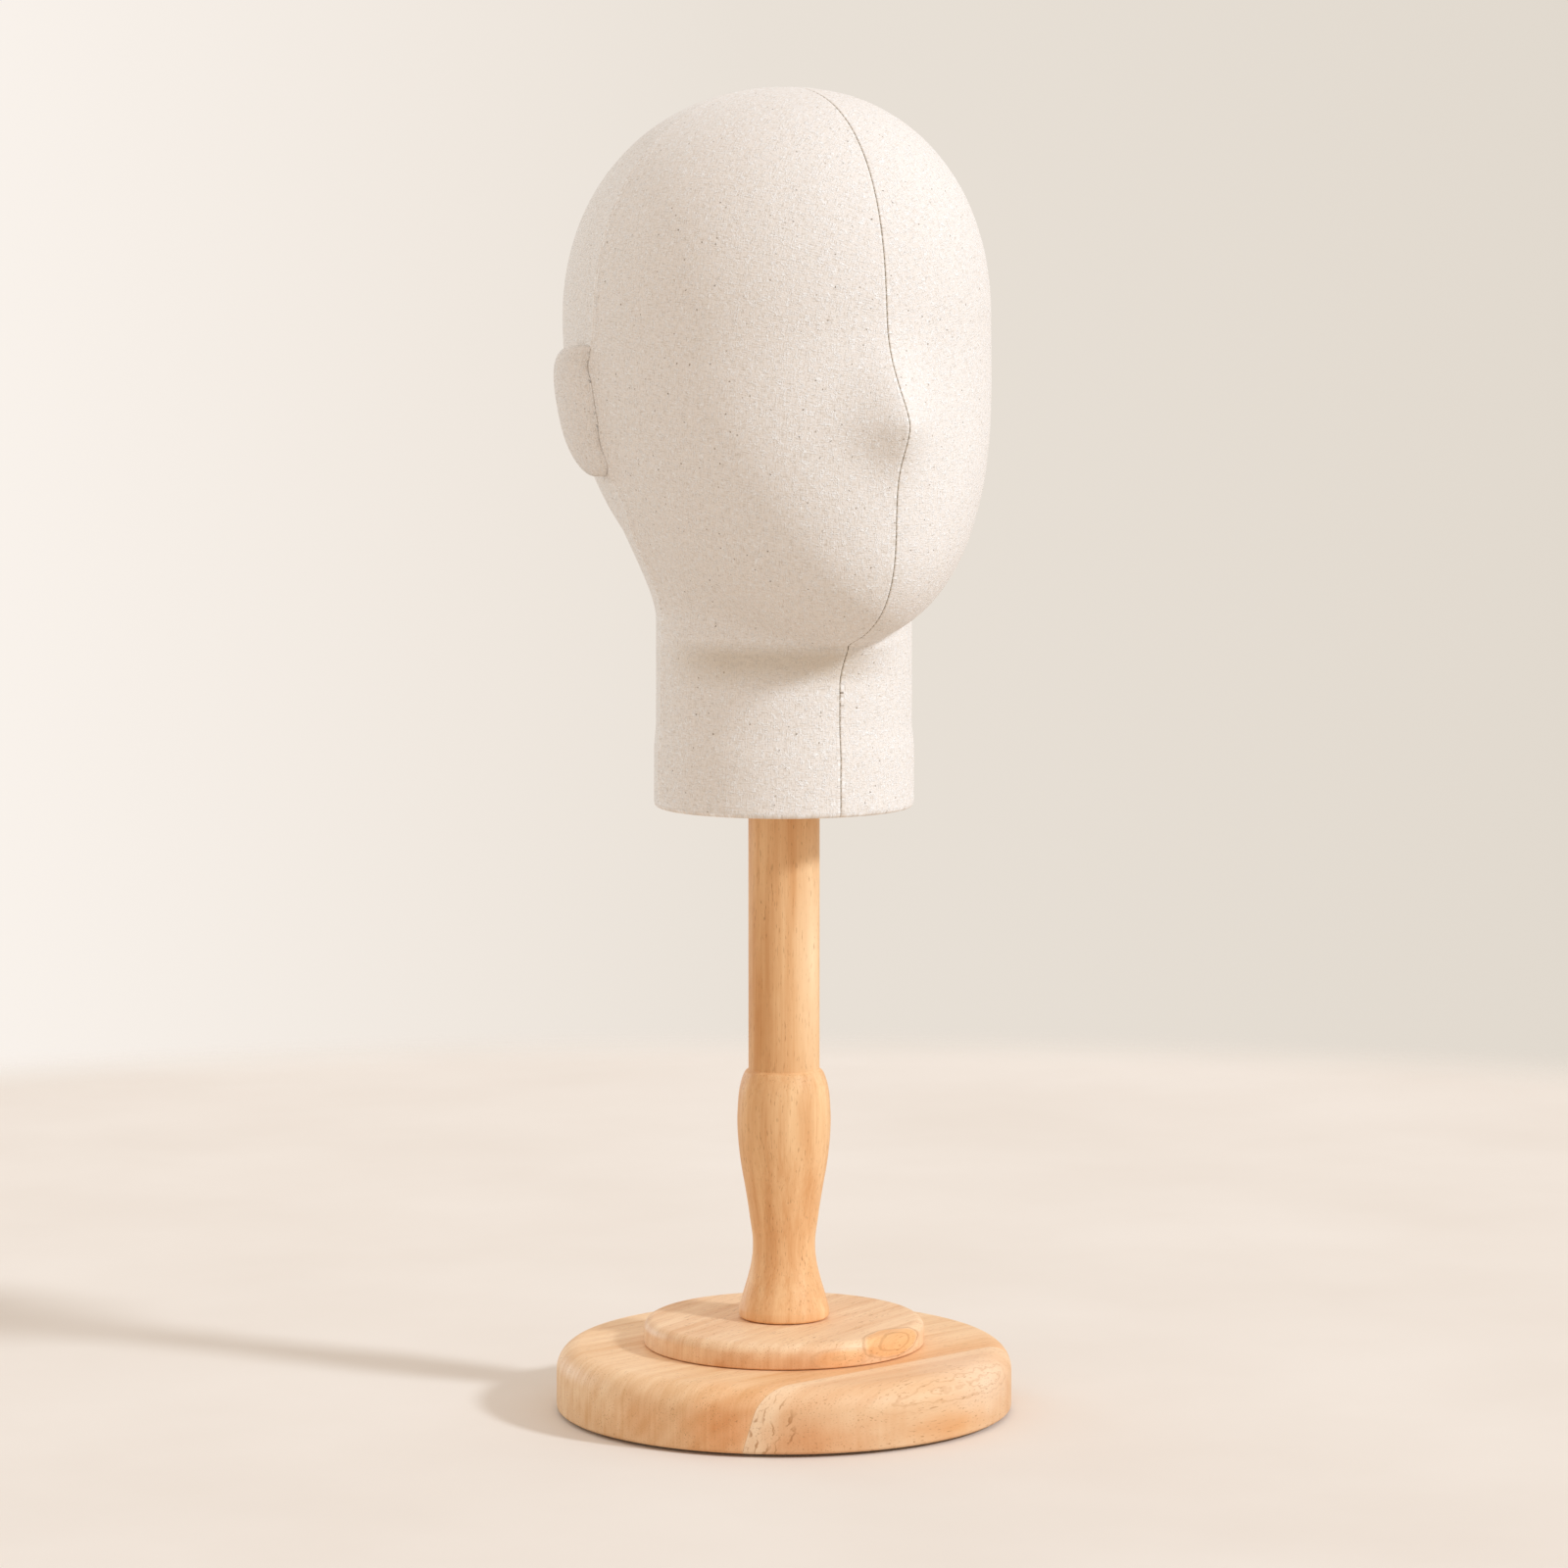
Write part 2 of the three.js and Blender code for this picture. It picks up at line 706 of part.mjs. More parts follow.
for (const [word, side] of [["left", 1], ["right", -1]]) {
  head.add(piece(`face_panel_${word}`, panel(side, -1), linen));
  head.add(piece(`back_panel_${word}`, panel(side, 1), linen));
  head.add(
    piece(
      `side_seam_thread_${word}`,
      seamThread((height) => side * sideSeamAngle(height), side, 0),
      sewingThread,
    ),
  );
  const { cover, filling } = ear(side);
  head.add(piece(`${word}_ear_cover`, cover, linen));
  head.add(piece(`${word}_ear_filling`, filling, padding));
}
head.add(piece("centre_seam_thread", seamThread(() => 0, 0, -1), sewingThread));
head.add(piece("back_seam_thread", seamThread(() => Math.PI, 0, 1), sewingThread));

const widestColumn = (1 - faceColumns.at(-2)) * (Math.PI / 2);
const neckInside = (neckRadius - linenThickness) * Math.cos(widestColumn / 2) - seat;
head.add(
  piece(
    "neck_base_board",
    sleeve(socketRadius + seat, neckInside, boardFoot, boardTop, fineFacets),
    plywood,
  ),
);
head.add(
  piece(
    "neck_base_cover",
    sleeve(dowelRadius + postMouth, neckInside, 0, coverTop, fineFacets),
    linen,
  ),
);
head.add(
  piece(
    "socket_tube",
    turned(
      [
        [socketBore, boardFoot],
        [socketRadius, boardFoot],
        [socketRadius, socketTop],
        [0, socketTop],
        [0, socketTop - socketCap],
        [socketBore, socketTop - socketCap],
        [socketBore, boardFoot],
      ],
      postFacets,
    ),
    socketCard,
  ),
);

// Bush: it caps the post, lifts off with the head and lets the head turn
head.add(
  piece(
    "neck_bush",
    turned(
      [
        [bushBore, bushFoot],
        [bushRadius, bushFoot],
        [bushRadius, bushTop],
        [0, bushTop],
        [0, bushTop - bushCap],
        [bushBore, bushTop - bushCap],
        [bushBore, bushFoot],
      ],
      postFacets,
    ),
    bushPlastic,
  ),
);

// Stand
const stand = new THREE.Group();
stand.add(piece("turned_post", cut(postForm(), boltHole), mainWood));
stand.add(piece("upper_disc", upperDisc, mainWood));
stand.add(piece("lower_disc_main_board", lowerBoards.main, mainWood));
stand.add(piece("lower_disc_front_board", lowerBoards.front, frontWood));
stand.add(piece("hanger_bolt", hangerBolt, zincSteel));
stand.add(piece("insert_nut", insertNut, zincSteel));
screws.forEach((screw, i) => stand.add(piece(`disc_screw_${i + 1}`, screw, zincSteel)));
stand.add(piece("felt_pad", rod(lowerDiscRadius - feltInset, 0, feltThickness, fineFacets), felt));

const displayHead = new THREE.Group();
displayHead.add(stand, head);
export default displayHead;
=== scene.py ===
from functools import partial
from math import atan2, cos, pi, radians, sin, tan

import bpy
import numpy as np
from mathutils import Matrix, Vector, noise


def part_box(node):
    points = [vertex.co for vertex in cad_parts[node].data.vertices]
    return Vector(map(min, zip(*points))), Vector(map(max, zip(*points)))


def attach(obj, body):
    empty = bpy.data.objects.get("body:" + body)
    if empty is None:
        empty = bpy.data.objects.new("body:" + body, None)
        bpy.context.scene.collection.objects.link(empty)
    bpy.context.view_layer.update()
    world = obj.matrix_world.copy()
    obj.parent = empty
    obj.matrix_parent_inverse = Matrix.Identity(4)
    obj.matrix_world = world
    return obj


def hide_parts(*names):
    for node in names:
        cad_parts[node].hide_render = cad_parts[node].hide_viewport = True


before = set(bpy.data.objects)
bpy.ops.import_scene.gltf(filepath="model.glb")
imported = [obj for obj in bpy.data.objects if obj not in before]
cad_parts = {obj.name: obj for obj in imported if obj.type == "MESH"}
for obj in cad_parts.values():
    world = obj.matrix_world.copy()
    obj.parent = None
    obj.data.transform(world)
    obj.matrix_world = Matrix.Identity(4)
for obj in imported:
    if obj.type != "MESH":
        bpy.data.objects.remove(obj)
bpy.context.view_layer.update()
mm = 0.001
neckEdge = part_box("neck_base_cover")[0].z / mm  # height of the neck's lower edge
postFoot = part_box("turned_post")[0].z / mm
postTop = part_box("turned_post")[1].z / mm
print("frame loaded:", len(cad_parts), "nodes, the neck's edge at", round(neckEdge, 1), "mm")


# Selecting and finishing pieces
def leaveEdit():
    bpy.ops.object.mode_set(mode="OBJECT")


def deselectAll():
    if bpy.context.object and bpy.context.object.mode != "OBJECT":
        leaveEdit()
    bpy.ops.object.select_all(action="DESELECT")


def makeActive(piece):
    deselectAll()
    piece.select_set(True)
    bpy.context.view_layer.objects.active = piece


def editWhole(piece):
    makeActive(piece)
    bpy.ops.object.mode_set(mode="EDIT")
    bpy.ops.mesh.select_all(action="SELECT")


def applyModifier(piece, kind, **settings):
    makeActive(piece)
    modifier = piece.modifiers.new("shaping", kind)
    for key, value in settings.items():
        setattr(modifier, key, value)
    bpy.ops.object.modifier_apply(modifier=modifier.name)


def vertexPlaces(piece):
    places = np.empty(len(piece.data.vertices) * 3)
    piece.data.vertices.foreach_get("co", places)
    return places.reshape(-1, 3)


def placeVertices(piece, places):
    piece.data.vertices.foreach_set("co", np.ascontiguousarray(places, np.float32).ravel())
    piece.data.update()


def mergeAndTurnOut(piece):
    editWhole(piece)
    bpy.ops.mesh.remove_doubles(threshold=0.002 * mm)
    bpy.ops.mesh.normals_make_consistent(inside=False)
    leaveEdit()


def finishPiece(piece, name, body, material, node, smoothAngle=35):
    makeActive(piece)
    piece.name = name
    piece.data.name = name
    piece.data.materials.clear()
    piece.data.materials.append(material)
    bpy.ops.object.shade_smooth_by_angle(angle=radians(smoothAngle))
    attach(piece, body)
    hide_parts(node)
    piece.select_set(False)


# A square grid, with the row and the column of each of its vertices
def gridPiece(rows, columns):
    deselectAll()
    bpy.ops.mesh.primitive_grid_add(x_subdivisions=columns - 1, y_subdivisions=rows - 1, size=1)
    piece = bpy.context.object
    start = vertexPlaces(piece) + 0.5
    column = np.rint(start[:, 0] * (columns - 1)).astype(int)
    row = np.rint(start[:, 1] * (rows - 1)).astype(int)
    return piece, row, column


def cornerVertices(piece):
    vertices = np.empty(len(piece.data.loops), int)
    piece.data.loops.foreach_get("vertex_index", vertices)
    return vertices


# Gives each vertex its place on the flat cloth, in metres, for the weave to follow
def layWeave(piece, cloth):
    layer = piece.data.uv_layers.active
    layer.name = "clothWeave"
    layer.uv.foreach_set("vector", cloth[cornerVertices(piece)].astype(np.float32).ravel())


def lengthsAlong(path):
    return np.concatenate([[0], np.cumsum(np.linalg.norm(np.diff(path, axis=0), axis=1))])


# Each column of values, known at some places along a line, read at others
def readAt(places, known, values):
    return np.stack([np.interp(places, known, column) for column in values.T], -1)


# A smooth line through points, with an equal number of steps between each two
def smoothLine(points, steps):
    rows = [np.array(p, float) for p in points]
    rows = [rows[0], *rows, rows[-1]]
    line = []
    for a, b, c, d in zip(rows, rows[1:], rows[2:], rows[3:]):
        for t in np.arange(steps) / steps:
            bend = (2 * a - 5 * b + 4 * c - d) * t * t + (3 * b - a - 3 * c + d) * t**3
            line.append(tuple(0.5 * (2 * b + (c - a) * t + bend)))
    return line + [tuple(rows[-1])]


def roundedCorner(middleRadius, middleHeight, size, fromDegrees, toDegrees, steps=8):
    turns = [radians(fromDegrees + (toDegrees - fromDegrees) * i / steps) for i in range(steps + 1)]
    return [(middleRadius + size * cos(a), middleHeight + size * sin(a)) for a in turns]


# Rounded corners of a turned wall's section: 0 is the lower inner one, 1 the lower outer, 2 and 3 above them
def roundedCorners(inner, outer, foot, top, rounding, corners):
    near, far, low, high = inner + rounding, outer - rounding, foot + rounding, top - rounding
    middles = [(near, low), (far, low), (far, high), (near, high)]
    profile = []
    for corner in corners:
        profile += roundedCorner(*middles[corner], rounding, corner * 90 - 180, corner * 90 - 90, 3)
    return profile


# A turned piece: one vertex is extruded along the profile, radius and height in mm, and spun round the axis
def turnedPiece(profile, facets=120):
    deselectAll()
    bpy.ops.mesh.primitive_plane_add(size=mm)
    bpy.ops.object.mode_set(mode="EDIT")
    bpy.ops.mesh.merge(type="CENTER")
    bpy.ops.transform.translate(value=(profile[0][0] * mm, 0, profile[0][1] * mm))
    for (r0, h0), (r1, h1) in zip(profile, profile[1:]):
        step = ((r1 - r0) * mm, 0, (h1 - h0) * mm)
        bpy.ops.mesh.extrude_region_move(TRANSFORM_OT_translate={"value": step})
    bpy.ops.mesh.select_all(action="SELECT")
    bpy.ops.mesh.spin(steps=facets, angle=2 * pi, center=(0, 0, 0), axis=(0, 0, 1))
    leaveEdit()
    piece = bpy.context.object
    mergeAndTurnOut(piece)
    return piece


# Materials
def linear(hexColour):
    parts = [int(hexColour[i : i + 2], 16) / 255 for i in (1, 3, 5)]
    return tuple(c / 12.92 if c <= 0.04045 else ((c + 0.055) / 1.055) ** 2.4 for c in parts) + (1.0,)


# Adds a node with its settings, its ramp's stops and its inputs, each a value or another node's output,
# and returns one of its outputs, or all of them where output is None
def addNode(tree, kind, inputs=(), output=0, stops=(), **settings):
    node = tree.nodes.new("ShaderNode" + kind)
    for key, value in settings.items():
        setattr(node, key, value)
    if stops:
        ramp = node.color_ramp
        while len(ramp.elements) < len(stops):
            ramp.elements.new(0.5)
        for stop, (place, colour) in zip(ramp.elements, stops):
            stop.position, stop.color = place, linear(colour)
    for key, value in inputs.items() if isinstance(inputs, dict) else enumerate(inputs):
        if isinstance(value, bpy.types.NodeSocket):
            tree.links.new(value, node.inputs[key])
        else:
            node.inputs[key].default_value = value
    return node.outputs if output is None else node.outputs[output]


# A material, the function that adds nodes to it, and the place on the piece
def newMaterial(name, **shaderInputs):
    material = bpy.data.materials.new(name)
    material.use_nodes = True
    shader = material.node_tree.nodes["Principled BSDF"]
    for key, value in shaderInputs.items():
        shader.inputs[key.replace("_", " ")].default_value = value
    add = partial(addNode, material.node_tree)
    return material, add, add("TexCoord", output="Object")


# Joins a colour, a gloss and a relief, raised with the bump's strength and depth in mm, to the shader
def joinToShader(material, colour, relief=None, bump=(0, 0), gloss=None):
    tree = material.node_tree
    ends = {"Base Color": colour}
    if relief:
        strength, depth = bump
        raised = {"Height": relief, "Strength": strength, "Distance": depth * mm}
        ends["Normal"] = addNode(tree, "Bump", raised)
    if gloss:
        ends["Roughness"] = gloss
    for key, value in ends.items():
        tree.links.new(value, tree.nodes["Principled BSDF"].inputs[key])
    return material


# Patterns multiplied with one another
def product(add, *values):
    total = values[0]
    for value in values[1:]:
        total = add("Math", (total, value), operation="MULTIPLY")
    return total


# Patterns added up, each with its weight
def weightedSum(add, *parts):
    total = 0.0
    for value, weight in parts:
        total = add("Math", (value, weight, total), operation="MULTIPLY_ADD")
    return total


# Colours laid over one another, each with the way it blends and its mask
def overlaid(add, colour, layers):
    for blend, mask, over in layers:
        colour = add("Mix", {0: mask, 6: colour, 7: over}, 2, data_type="RGBA", blend_type=blend)
    return colour


# Noise whose cells have the given sizes in mm, drawn out along threads or grain
def stretchedNoise(add, vector, sizes, detail, output="Fac", roughness=0.55, dimensions="3D"):
    stretched = add("Mapping", {"Vector": vector, "Scale": [1 / size for size in sizes]})
    inputs = {"Vector": stretched, "Scale": 1.0, "Detail": detail, "Roughness": roughness}
    return add("TexNoise", inputs, output, noise_dimensions=dimensions)


linenLooks = {
    "light": "#FAF4ED",
    "shade": "#EAE1D6",
    "fleck": "#7E6A52",
    "slub": "#FFFDF9",
    "hollow": "#C2B5A4",
    "shares": {"hollow": 0.25, "slub": 0.85, "fleck": 1.0, "paintedCreaseShade": 0.75},  # how far each covers the cloth
    "thread": 0.75,  # mm between threads; the real 0.4 mm is drawn coarser so that it shows
    "noises": {  # cell sizes in mm, detail
        "warp": (3.2, 0.5, 2.5),  # length and width of the slubs
        "weft": (0.5, 3.2, 2.5),
        "grain": (1.0, 1.0, 3.0),
        "curl": (1.8, 1.8, 1.0),  # loose fibre ends that stand up in small curls
        "curlSpread": (2.6, 2.6, 1.0),
        "wobble": (1 / 0.35, 1 / 0.35, 2.0),  # how the threads stray
        "ragged": (1 / 1.4, 1 / 1.4, 1.0),  # the outline of a fleck
    },
    "relief": {"interlace": 0.1, "both": 0.8, "grain": 0.4, "curl": 0.9, "slub": 0.6, "hollow": -0.3},
    "bump": (0.65, 0.25),
    "fleckSpacing": 3.0,
    "fleckShare": 0.07,  # of the cells that hold a fleck
    "fleckRadius": 0.34,
    "paintedCreaseShade": "#D9CBB7",  # painted shade in the crease under the chin, heights above the neck's edge
    "paintedCreaseShadeLevels": (48, 59, 62.5, 68.5),
    "paintedCreaseShadeBehind": (0, -30),  # from the post's axis, where the painted shade ends and where it is full
    "paintedCreaseShadeAside": (14, -6),
}


# Unbleached plain woven linen: matt, uneven threads both ways, thick slubs and a few brown flecks of husk
def linenWeave():
    looks = linenLooks
    material, add, place = newMaterial(
        "linenPlainWeave", Roughness=0.95, Sheen_Weight=0.12, Sheen_Roughness=0.5, Specular_IOR_Level=0.15
    )
    weave = add("UVMap", uv_map="clothWeave")
    cloth = add("Mapping", {"Vector": weave, "Scale": (1000, 1000, 1000)})
    part = {}
    for key, (wide, high, detail) in looks["noises"].items():
        output = "Color" if key in ("wobble", "ragged") else "Fac"
        roughness = 0.7 if key == "grain" else 0.6
        part[key] = stretchedNoise(add, cloth, (wide, high, 1), detail, output, roughness, "2D")
    threads = part["warp"], part["weft"]
    part["both"] = add("Math", threads, operation="ADD")
    part["slub"] = add("Math", [add("MapRange", (t, 0.62, 0.7)) for t in threads], operation="MAXIMUM")
    part["hollow"] = add("Math", [add("MapRange", (t, 0.34, 0.27)) for t in threads], operation="MAXIMUM")
    contour = add("Math", (add("Math", (part["curl"], 0.5), operation="SUBTRACT"),), operation="ABSOLUTE")
    there = add("MapRange", (part["curlSpread"], 0.53, 0.6))
    part["curl"] = product(add, add("MapRange", (contour, 0.09, 0.02)), there)

    wobbled = add("VectorMath", (part["wobble"], (1.6, 1.6, 0), cloth), operation="MULTIPLY_ADD")
    phases = add("VectorMath", {0: wobbled, "Scale": pi / looks["thread"]}, operation="SCALE")
    split = add("SeparateXYZ", (phases,), None)
    part["interlace"] = product(add, *[add("Math", (split[i],), operation="SINE") for i in (0, 1)])

    ragged = add("VectorMath", (part["ragged"], (0.7, 0.7, 0), cloth), operation="MULTIPLY_ADD")
    where = {"Vector": ragged, "Scale": 1 / looks["fleckSpacing"]}
    cells = add("TexVoronoi", where, None, voronoi_dimensions="2D")
    picked = add("SeparateColor", (cells["Color"],), None)
    chosen = add("Math", (picked[0], looks["fleckShare"]), operation="LESS_THAN")
    strength = add("Math", (picked[1], 0.6, 0.35), operation="MULTIPLY_ADD")
    size = looks["fleckRadius"] / looks["fleckSpacing"]
    fleck = product(add, add("MapRange", (cells["Distance"], 1.3 * size, 0.4 * size)), chosen, strength)

    # Painted shade: the crease under the chin is darkened, in front and most on the side where the chin's
    # shadow falls
    at = add("SeparateXYZ", (place,), None)
    low, full, ends, high = [neckEdge + level for level in looks["paintedCreaseShadeLevels"]]
    edges = ("Z", low, full), ("Z", high, ends), ("Y", *looks["paintedCreaseShadeBehind"]), ("X", *looks["paintedCreaseShadeAside"])
    edges = [(at[axis], clear * mm, dusty * mm) for axis, clear, dusty in edges]
    paintedCreaseShade = product(add, *[add("MapRange", edge) for edge in edges])

    unevenness = weightedSum(add, (part["both"], 0.42), (part["grain"], 0.16))
    tone = add("ValToRGB", (unevenness,), stops=[(0.4, looks["shade"]), (0.6, looks["light"])])
    fuzz = add("Math", (part["slub"], part["curl"]), operation="MAXIMUM")
    masks = {"hollow": part["hollow"], "slub": fuzz, "fleck": fleck, "paintedCreaseShade": paintedCreaseShade}
    masks = {key: product(add, mask, looks["shares"][key]) for key, mask in masks.items()}
    tone = overlaid(add, tone, [("MIX", mask, linear(looks[key])) for key, mask in masks.items()])
    relief = weightedSum(add, *[(part[key], weight) for key, weight in looks["relief"].items()])
    return joinToShader(material, tone, relief, looks["bump"])


# Two-ply linen sewing thread: matt, its twist seen as fine slanting ridges; grey-brown on the open seams
def sewingThread(name, dark, light):
    material, add, place = newMaterial(name, Roughness=0.85, Sheen_Weight=0.1)
    fibres = add("TexNoise", {"Vector": place, "Scale": 1400.0, "Detail": 2.0})
    tone = add("ValToRGB", (fibres,), stops=[(0.35, dark), (0.65, light)])
    slant = {"Vector": place, "Scale": 420.0, "Distortion": 1.0}
    twist = add("TexWave", slant, "Fac", bands_direction="DIAGONAL")
    return joinToShader(material, tone, twist, (0.6, 0.08))


woodLooks = {
    "noises": {  # cell sizes in mm along and across the grain and on down through a board, detail
        "broad": (90, 14, 14, 2.0),
        "streaks": (45, 2.2, 30, 3.0),
        "fineStreaks": (60, 0.8, 30, 1.0),
        "fibres": (14, 0.5, 0.5, 2.0),
        "vessels": (4.0, 0.5, 0.5, 1.0),  # the real 0.25 mm pores are drawn coarser so that they show
        "clusters": (30, 8, 8, 1.0),
        "bend": (9, 5, 5, 2.0),  # how the outlines of the figures stray
    },
    "tones": {"broad": 0.42, "streaks": 0.25, "fineStreaks": 0.14, "fibres": 0.13, "rings": 0.06},
    "figure": {"turn": 0, "bend": 0.3, "edge": 0.2, "tint": "#FFFFFF", "blend": "MULTIPLY"},  # defaults
    "ringWidth": 7.0,
    "poreShare": 0.58,
    "gloss": (0.54, 0.44),  # roughness of the thin satin lacquer on dark and on pale streaks
    "bump": (0.35, 0.1),
}


# Pale hardwood such as rubberwood, turned, sanded and thinly lacquered: a warm satin with short dark
# vessel lines along the grain, streaks where the rim cuts the layers, and faint growth rings
def turnedHardwood(name, grainTurn, pale, deep, pore, pith=(0, 60, 40), joint=None, figures=()):
    looks = woodLooks
    material, add, place = newMaterial(name, Specular_IOR_Level=0.2)
    axes = {"Vector": place, "Rotation": grainTurn, "Scale": (1000, 1000, 1000), "Location": pith}
    grain = add("Mapping", axes)
    part = {}
    for key, (along, across, down, detail) in looks["noises"].items():
        down = across if grainTurn[1] else down  # on the post the layers run round, not down
        output = "Color" if key == "bend" else "Fac"
        part[key] = stretchedNoise(add, grain, (along, across, down), detail, output)
    wavy = {"Distortion": 5.0, "Detail": 2.0, "Detail Scale": 0.08}
    rings = {"Vector": grain, "Scale": 0.314 / looks["ringWidth"], **wavy}
    part["rings"] = add("TexWave", rings, "Fac", wave_type="RINGS", rings_direction="X")
    tone = weightedSum(add, *[(part[key], weight) for key, weight in looks["tones"].items()])
    wood = add("ValToRGB", (tone,), stops=[(0.35, deep), (0.63, pale)])

    layers = []
    if joint:
        fromJoint = add("VectorMath", (place, joint["normal"]), "Value", operation="DOT_PRODUCT")
        fromJoint = add("Math", (fromJoint, joint["distance"]), operation="SUBTRACT")
        wander = add("Math", (part["streaks"], 8.0, -4.0), operation="MULTIPLY_ADD")
        near = add("MapRange", (add("Math", (fromJoint,), operation="ABSOLUTE"), 0.0, 14.0))
        reach = add("Math", (wander, near, fromJoint), operation="MULTIPLY_ADD")
        low, high = joint["stops"][0][0], joint["stops"][-1][0]
        stops = [((level - low) / (high - low), colour) for level, colour in joint["stops"]]
        layers.append(("MULTIPLY", 1.0, add("ValToRGB", (add("MapRange", (reach, low, high)),), stops=stops)))
    bend = add("VectorMath", (part["bend"], (0.5, 0.5, 0.5)), operation="SUBTRACT")
    for figure in figures:
        figure = {**looks["figure"], **figure}
        axes = {"Vector": place, "Rotation": (0, 0, radians(figure["turn"]))}
        axes.update(Location=[s * mm for s in figure["at"]], Scale=[s * mm for s in figure["size"]])
        inside = add("Mapping", axes, vector_type="TEXTURE")
        inside = add("VectorMath", (bend, (figure["bend"],) * 3, inside), operation="MULTIPLY_ADD")
        away = add("VectorMath", (inside,), "Value", operation="LENGTH")
        mask = add("MapRange", (away, 1.0, figure["edge"]))
        layers.append((figure["blend"], mask, linear(figure["tint"])))
        if "rings" in figure:  # closed growth rings
            wave = add("Math", (product(add, away, figure["rings"] * 2 * pi),), operation="SINE")
            inner = add("MapRange", (away, 1.0, 1.12, figure["lines"], 0.0))
            lines = product(add, add("MapRange", (wave, 0.55, 1.0)), inner)
            layers.append(("MIX", lines, linear(figure["line"])))
        if "curls" in figure:  # broken burr lines along the joint
            stray = stretchedNoise(add, grain, (5, 5, 5), 2.0)
            stretch = add("Math", (stray, 7.0, fromJoint), operation="MULTIPLY_ADD")
            wave = add("Math", (product(add, stretch, 2 * pi / figure["curls"]),), operation="SINE")
            broken = add("MapRange", (stretchedNoise(add, grain, (4, 4, 6), 1.0), 0.42, 0.58))
            lines = product(add, add("MapRange", (wave, 0.62, 0.95)), broken, mask, figure["lines"])
            layers.append(("MIX", lines, linear(figure["line"])))
    often = add("MapRange", (part["clusters"], 0.35, 0.65, 0.3))
    marks = product(add, add("MapRange", (part["vessels"], 0.63, 0.7)), often)
    layers.append(("MIX", product(add, marks, looks["poreShare"]), linear(pore)))
    gloss = add("MapRange", (part["streaks"], 0.3, 0.7, *looks["gloss"]))
    relief = weightedSum(add, (part["fibres"], 0.4), (marks, -1.0))
    return joinToShader(material, overlaid(add, wood, layers), relief, looks["bump"], gloss)


# A finish whose colour and relief both follow one pattern, with bands added where the real one has them
def patternedFinish(name, kind, pattern, stops, bump, stretch=(1, 1, 1), bands=None, **shaderInputs):
    material, add, place = newMaterial(name, **shaderInputs)
    value = add(kind, {"Vector": add("Mapping", {"Vector": place, "Scale": stretch}), **pattern})
    if bands:
        scale, settings = bands
        wave = add("TexWave", {"Vector": place, "Scale": scale}, "Fac", **settings)
        value = weightedSum(add, (value, 1.0), (wave, 0.3))
    return joinToShader(material, add("ValToRGB", (value,), stops=stops), value, bump)


# Bright zinc-plated steel: cool grey, a little uneven in tone and gloss
def zincPlatedSteel():
    material, add, place = newMaterial("zincPlatedSteel", Metallic=1.0)
    cloudy = add("TexNoise", {"Vector": place, "Scale": 350.0, "Detail": 3.0})
    tone = add("ValToRGB", (cloudy,), stops=[(0.3, "#B4BAC0"), (0.7, "#CDD1D4")])
    return joinToShader(material, tone, gloss=add("MapRange", (cloudy, 0.0, 1.0, 0.24, 0.4)))


linen = linenWeave()
# Needled wool felt: matt and dark, with short matted fibres that catch a little light
fibres, tones = {"Scale": 900.0, "Detail": 4.0, "Distortion": 1.5}, [(0.3, "#6E6052"), (0.7, "#9C8B79")]
looks = "TexNoise", fibres, tones, (0.8, 0.3)
felt = patternedFinish("needledFelt", *looks, Roughness=1.0, Sheen_Weight=0.3)
# Firm polyurethane foam, cut to shape: matt and off-white, with fine open cells
looks = "TexVoronoi", {"Scale": 900.0}, [(0.0, "#D9D3C4"), (0.5, "#F2EFE6")], (0.5, 0.4)
foam = patternedFinish("cutPolyurethaneFoam", *looks, Roughness=0.95)
# Polyester wadding: white, matt and woolly
tufts, tones = {"Scale": 260.0, "Detail": 5.0, "Distortion": 2.0}, [(0.3, "#E2DED4"), (0.7, "#FAF8F3")]
looks = "TexNoise", tufts, tones, (0.9, 1.0)
wadding = patternedFinish("polyesterWadding", *looks, Roughness=1.0, Sheen_Weight=0.4)
# Moulded nylon: ivory and satin, with the fine grain of the mould
looks = "TexNoise", {"Scale": 1500.0, "Detail": 1.0}, [(0.3, "#E2DFD6"), (0.7, "#ECE9E2")], (0.2, 0.05)
nylon = patternedFinish("mouldedNylon", *looks, Roughness=0.4, IOR=1.53)
# Birch plywood: pale faces and stacked veneers 1.5 mm thick that show as bands on its edge
fibres, veneers = {"Scale": 1.0, "Detail": 4.0}, (105.0, {"bands_direction": "Z"})
looks = "TexNoise", fibres, [(0.35, "#C29B6B"), (0.9, "#EBD2AB")], (0.3, 0.1), (30, 500, 500), veneers
plywood = patternedFinish("birchPlywood", *looks, Roughness=0.65)
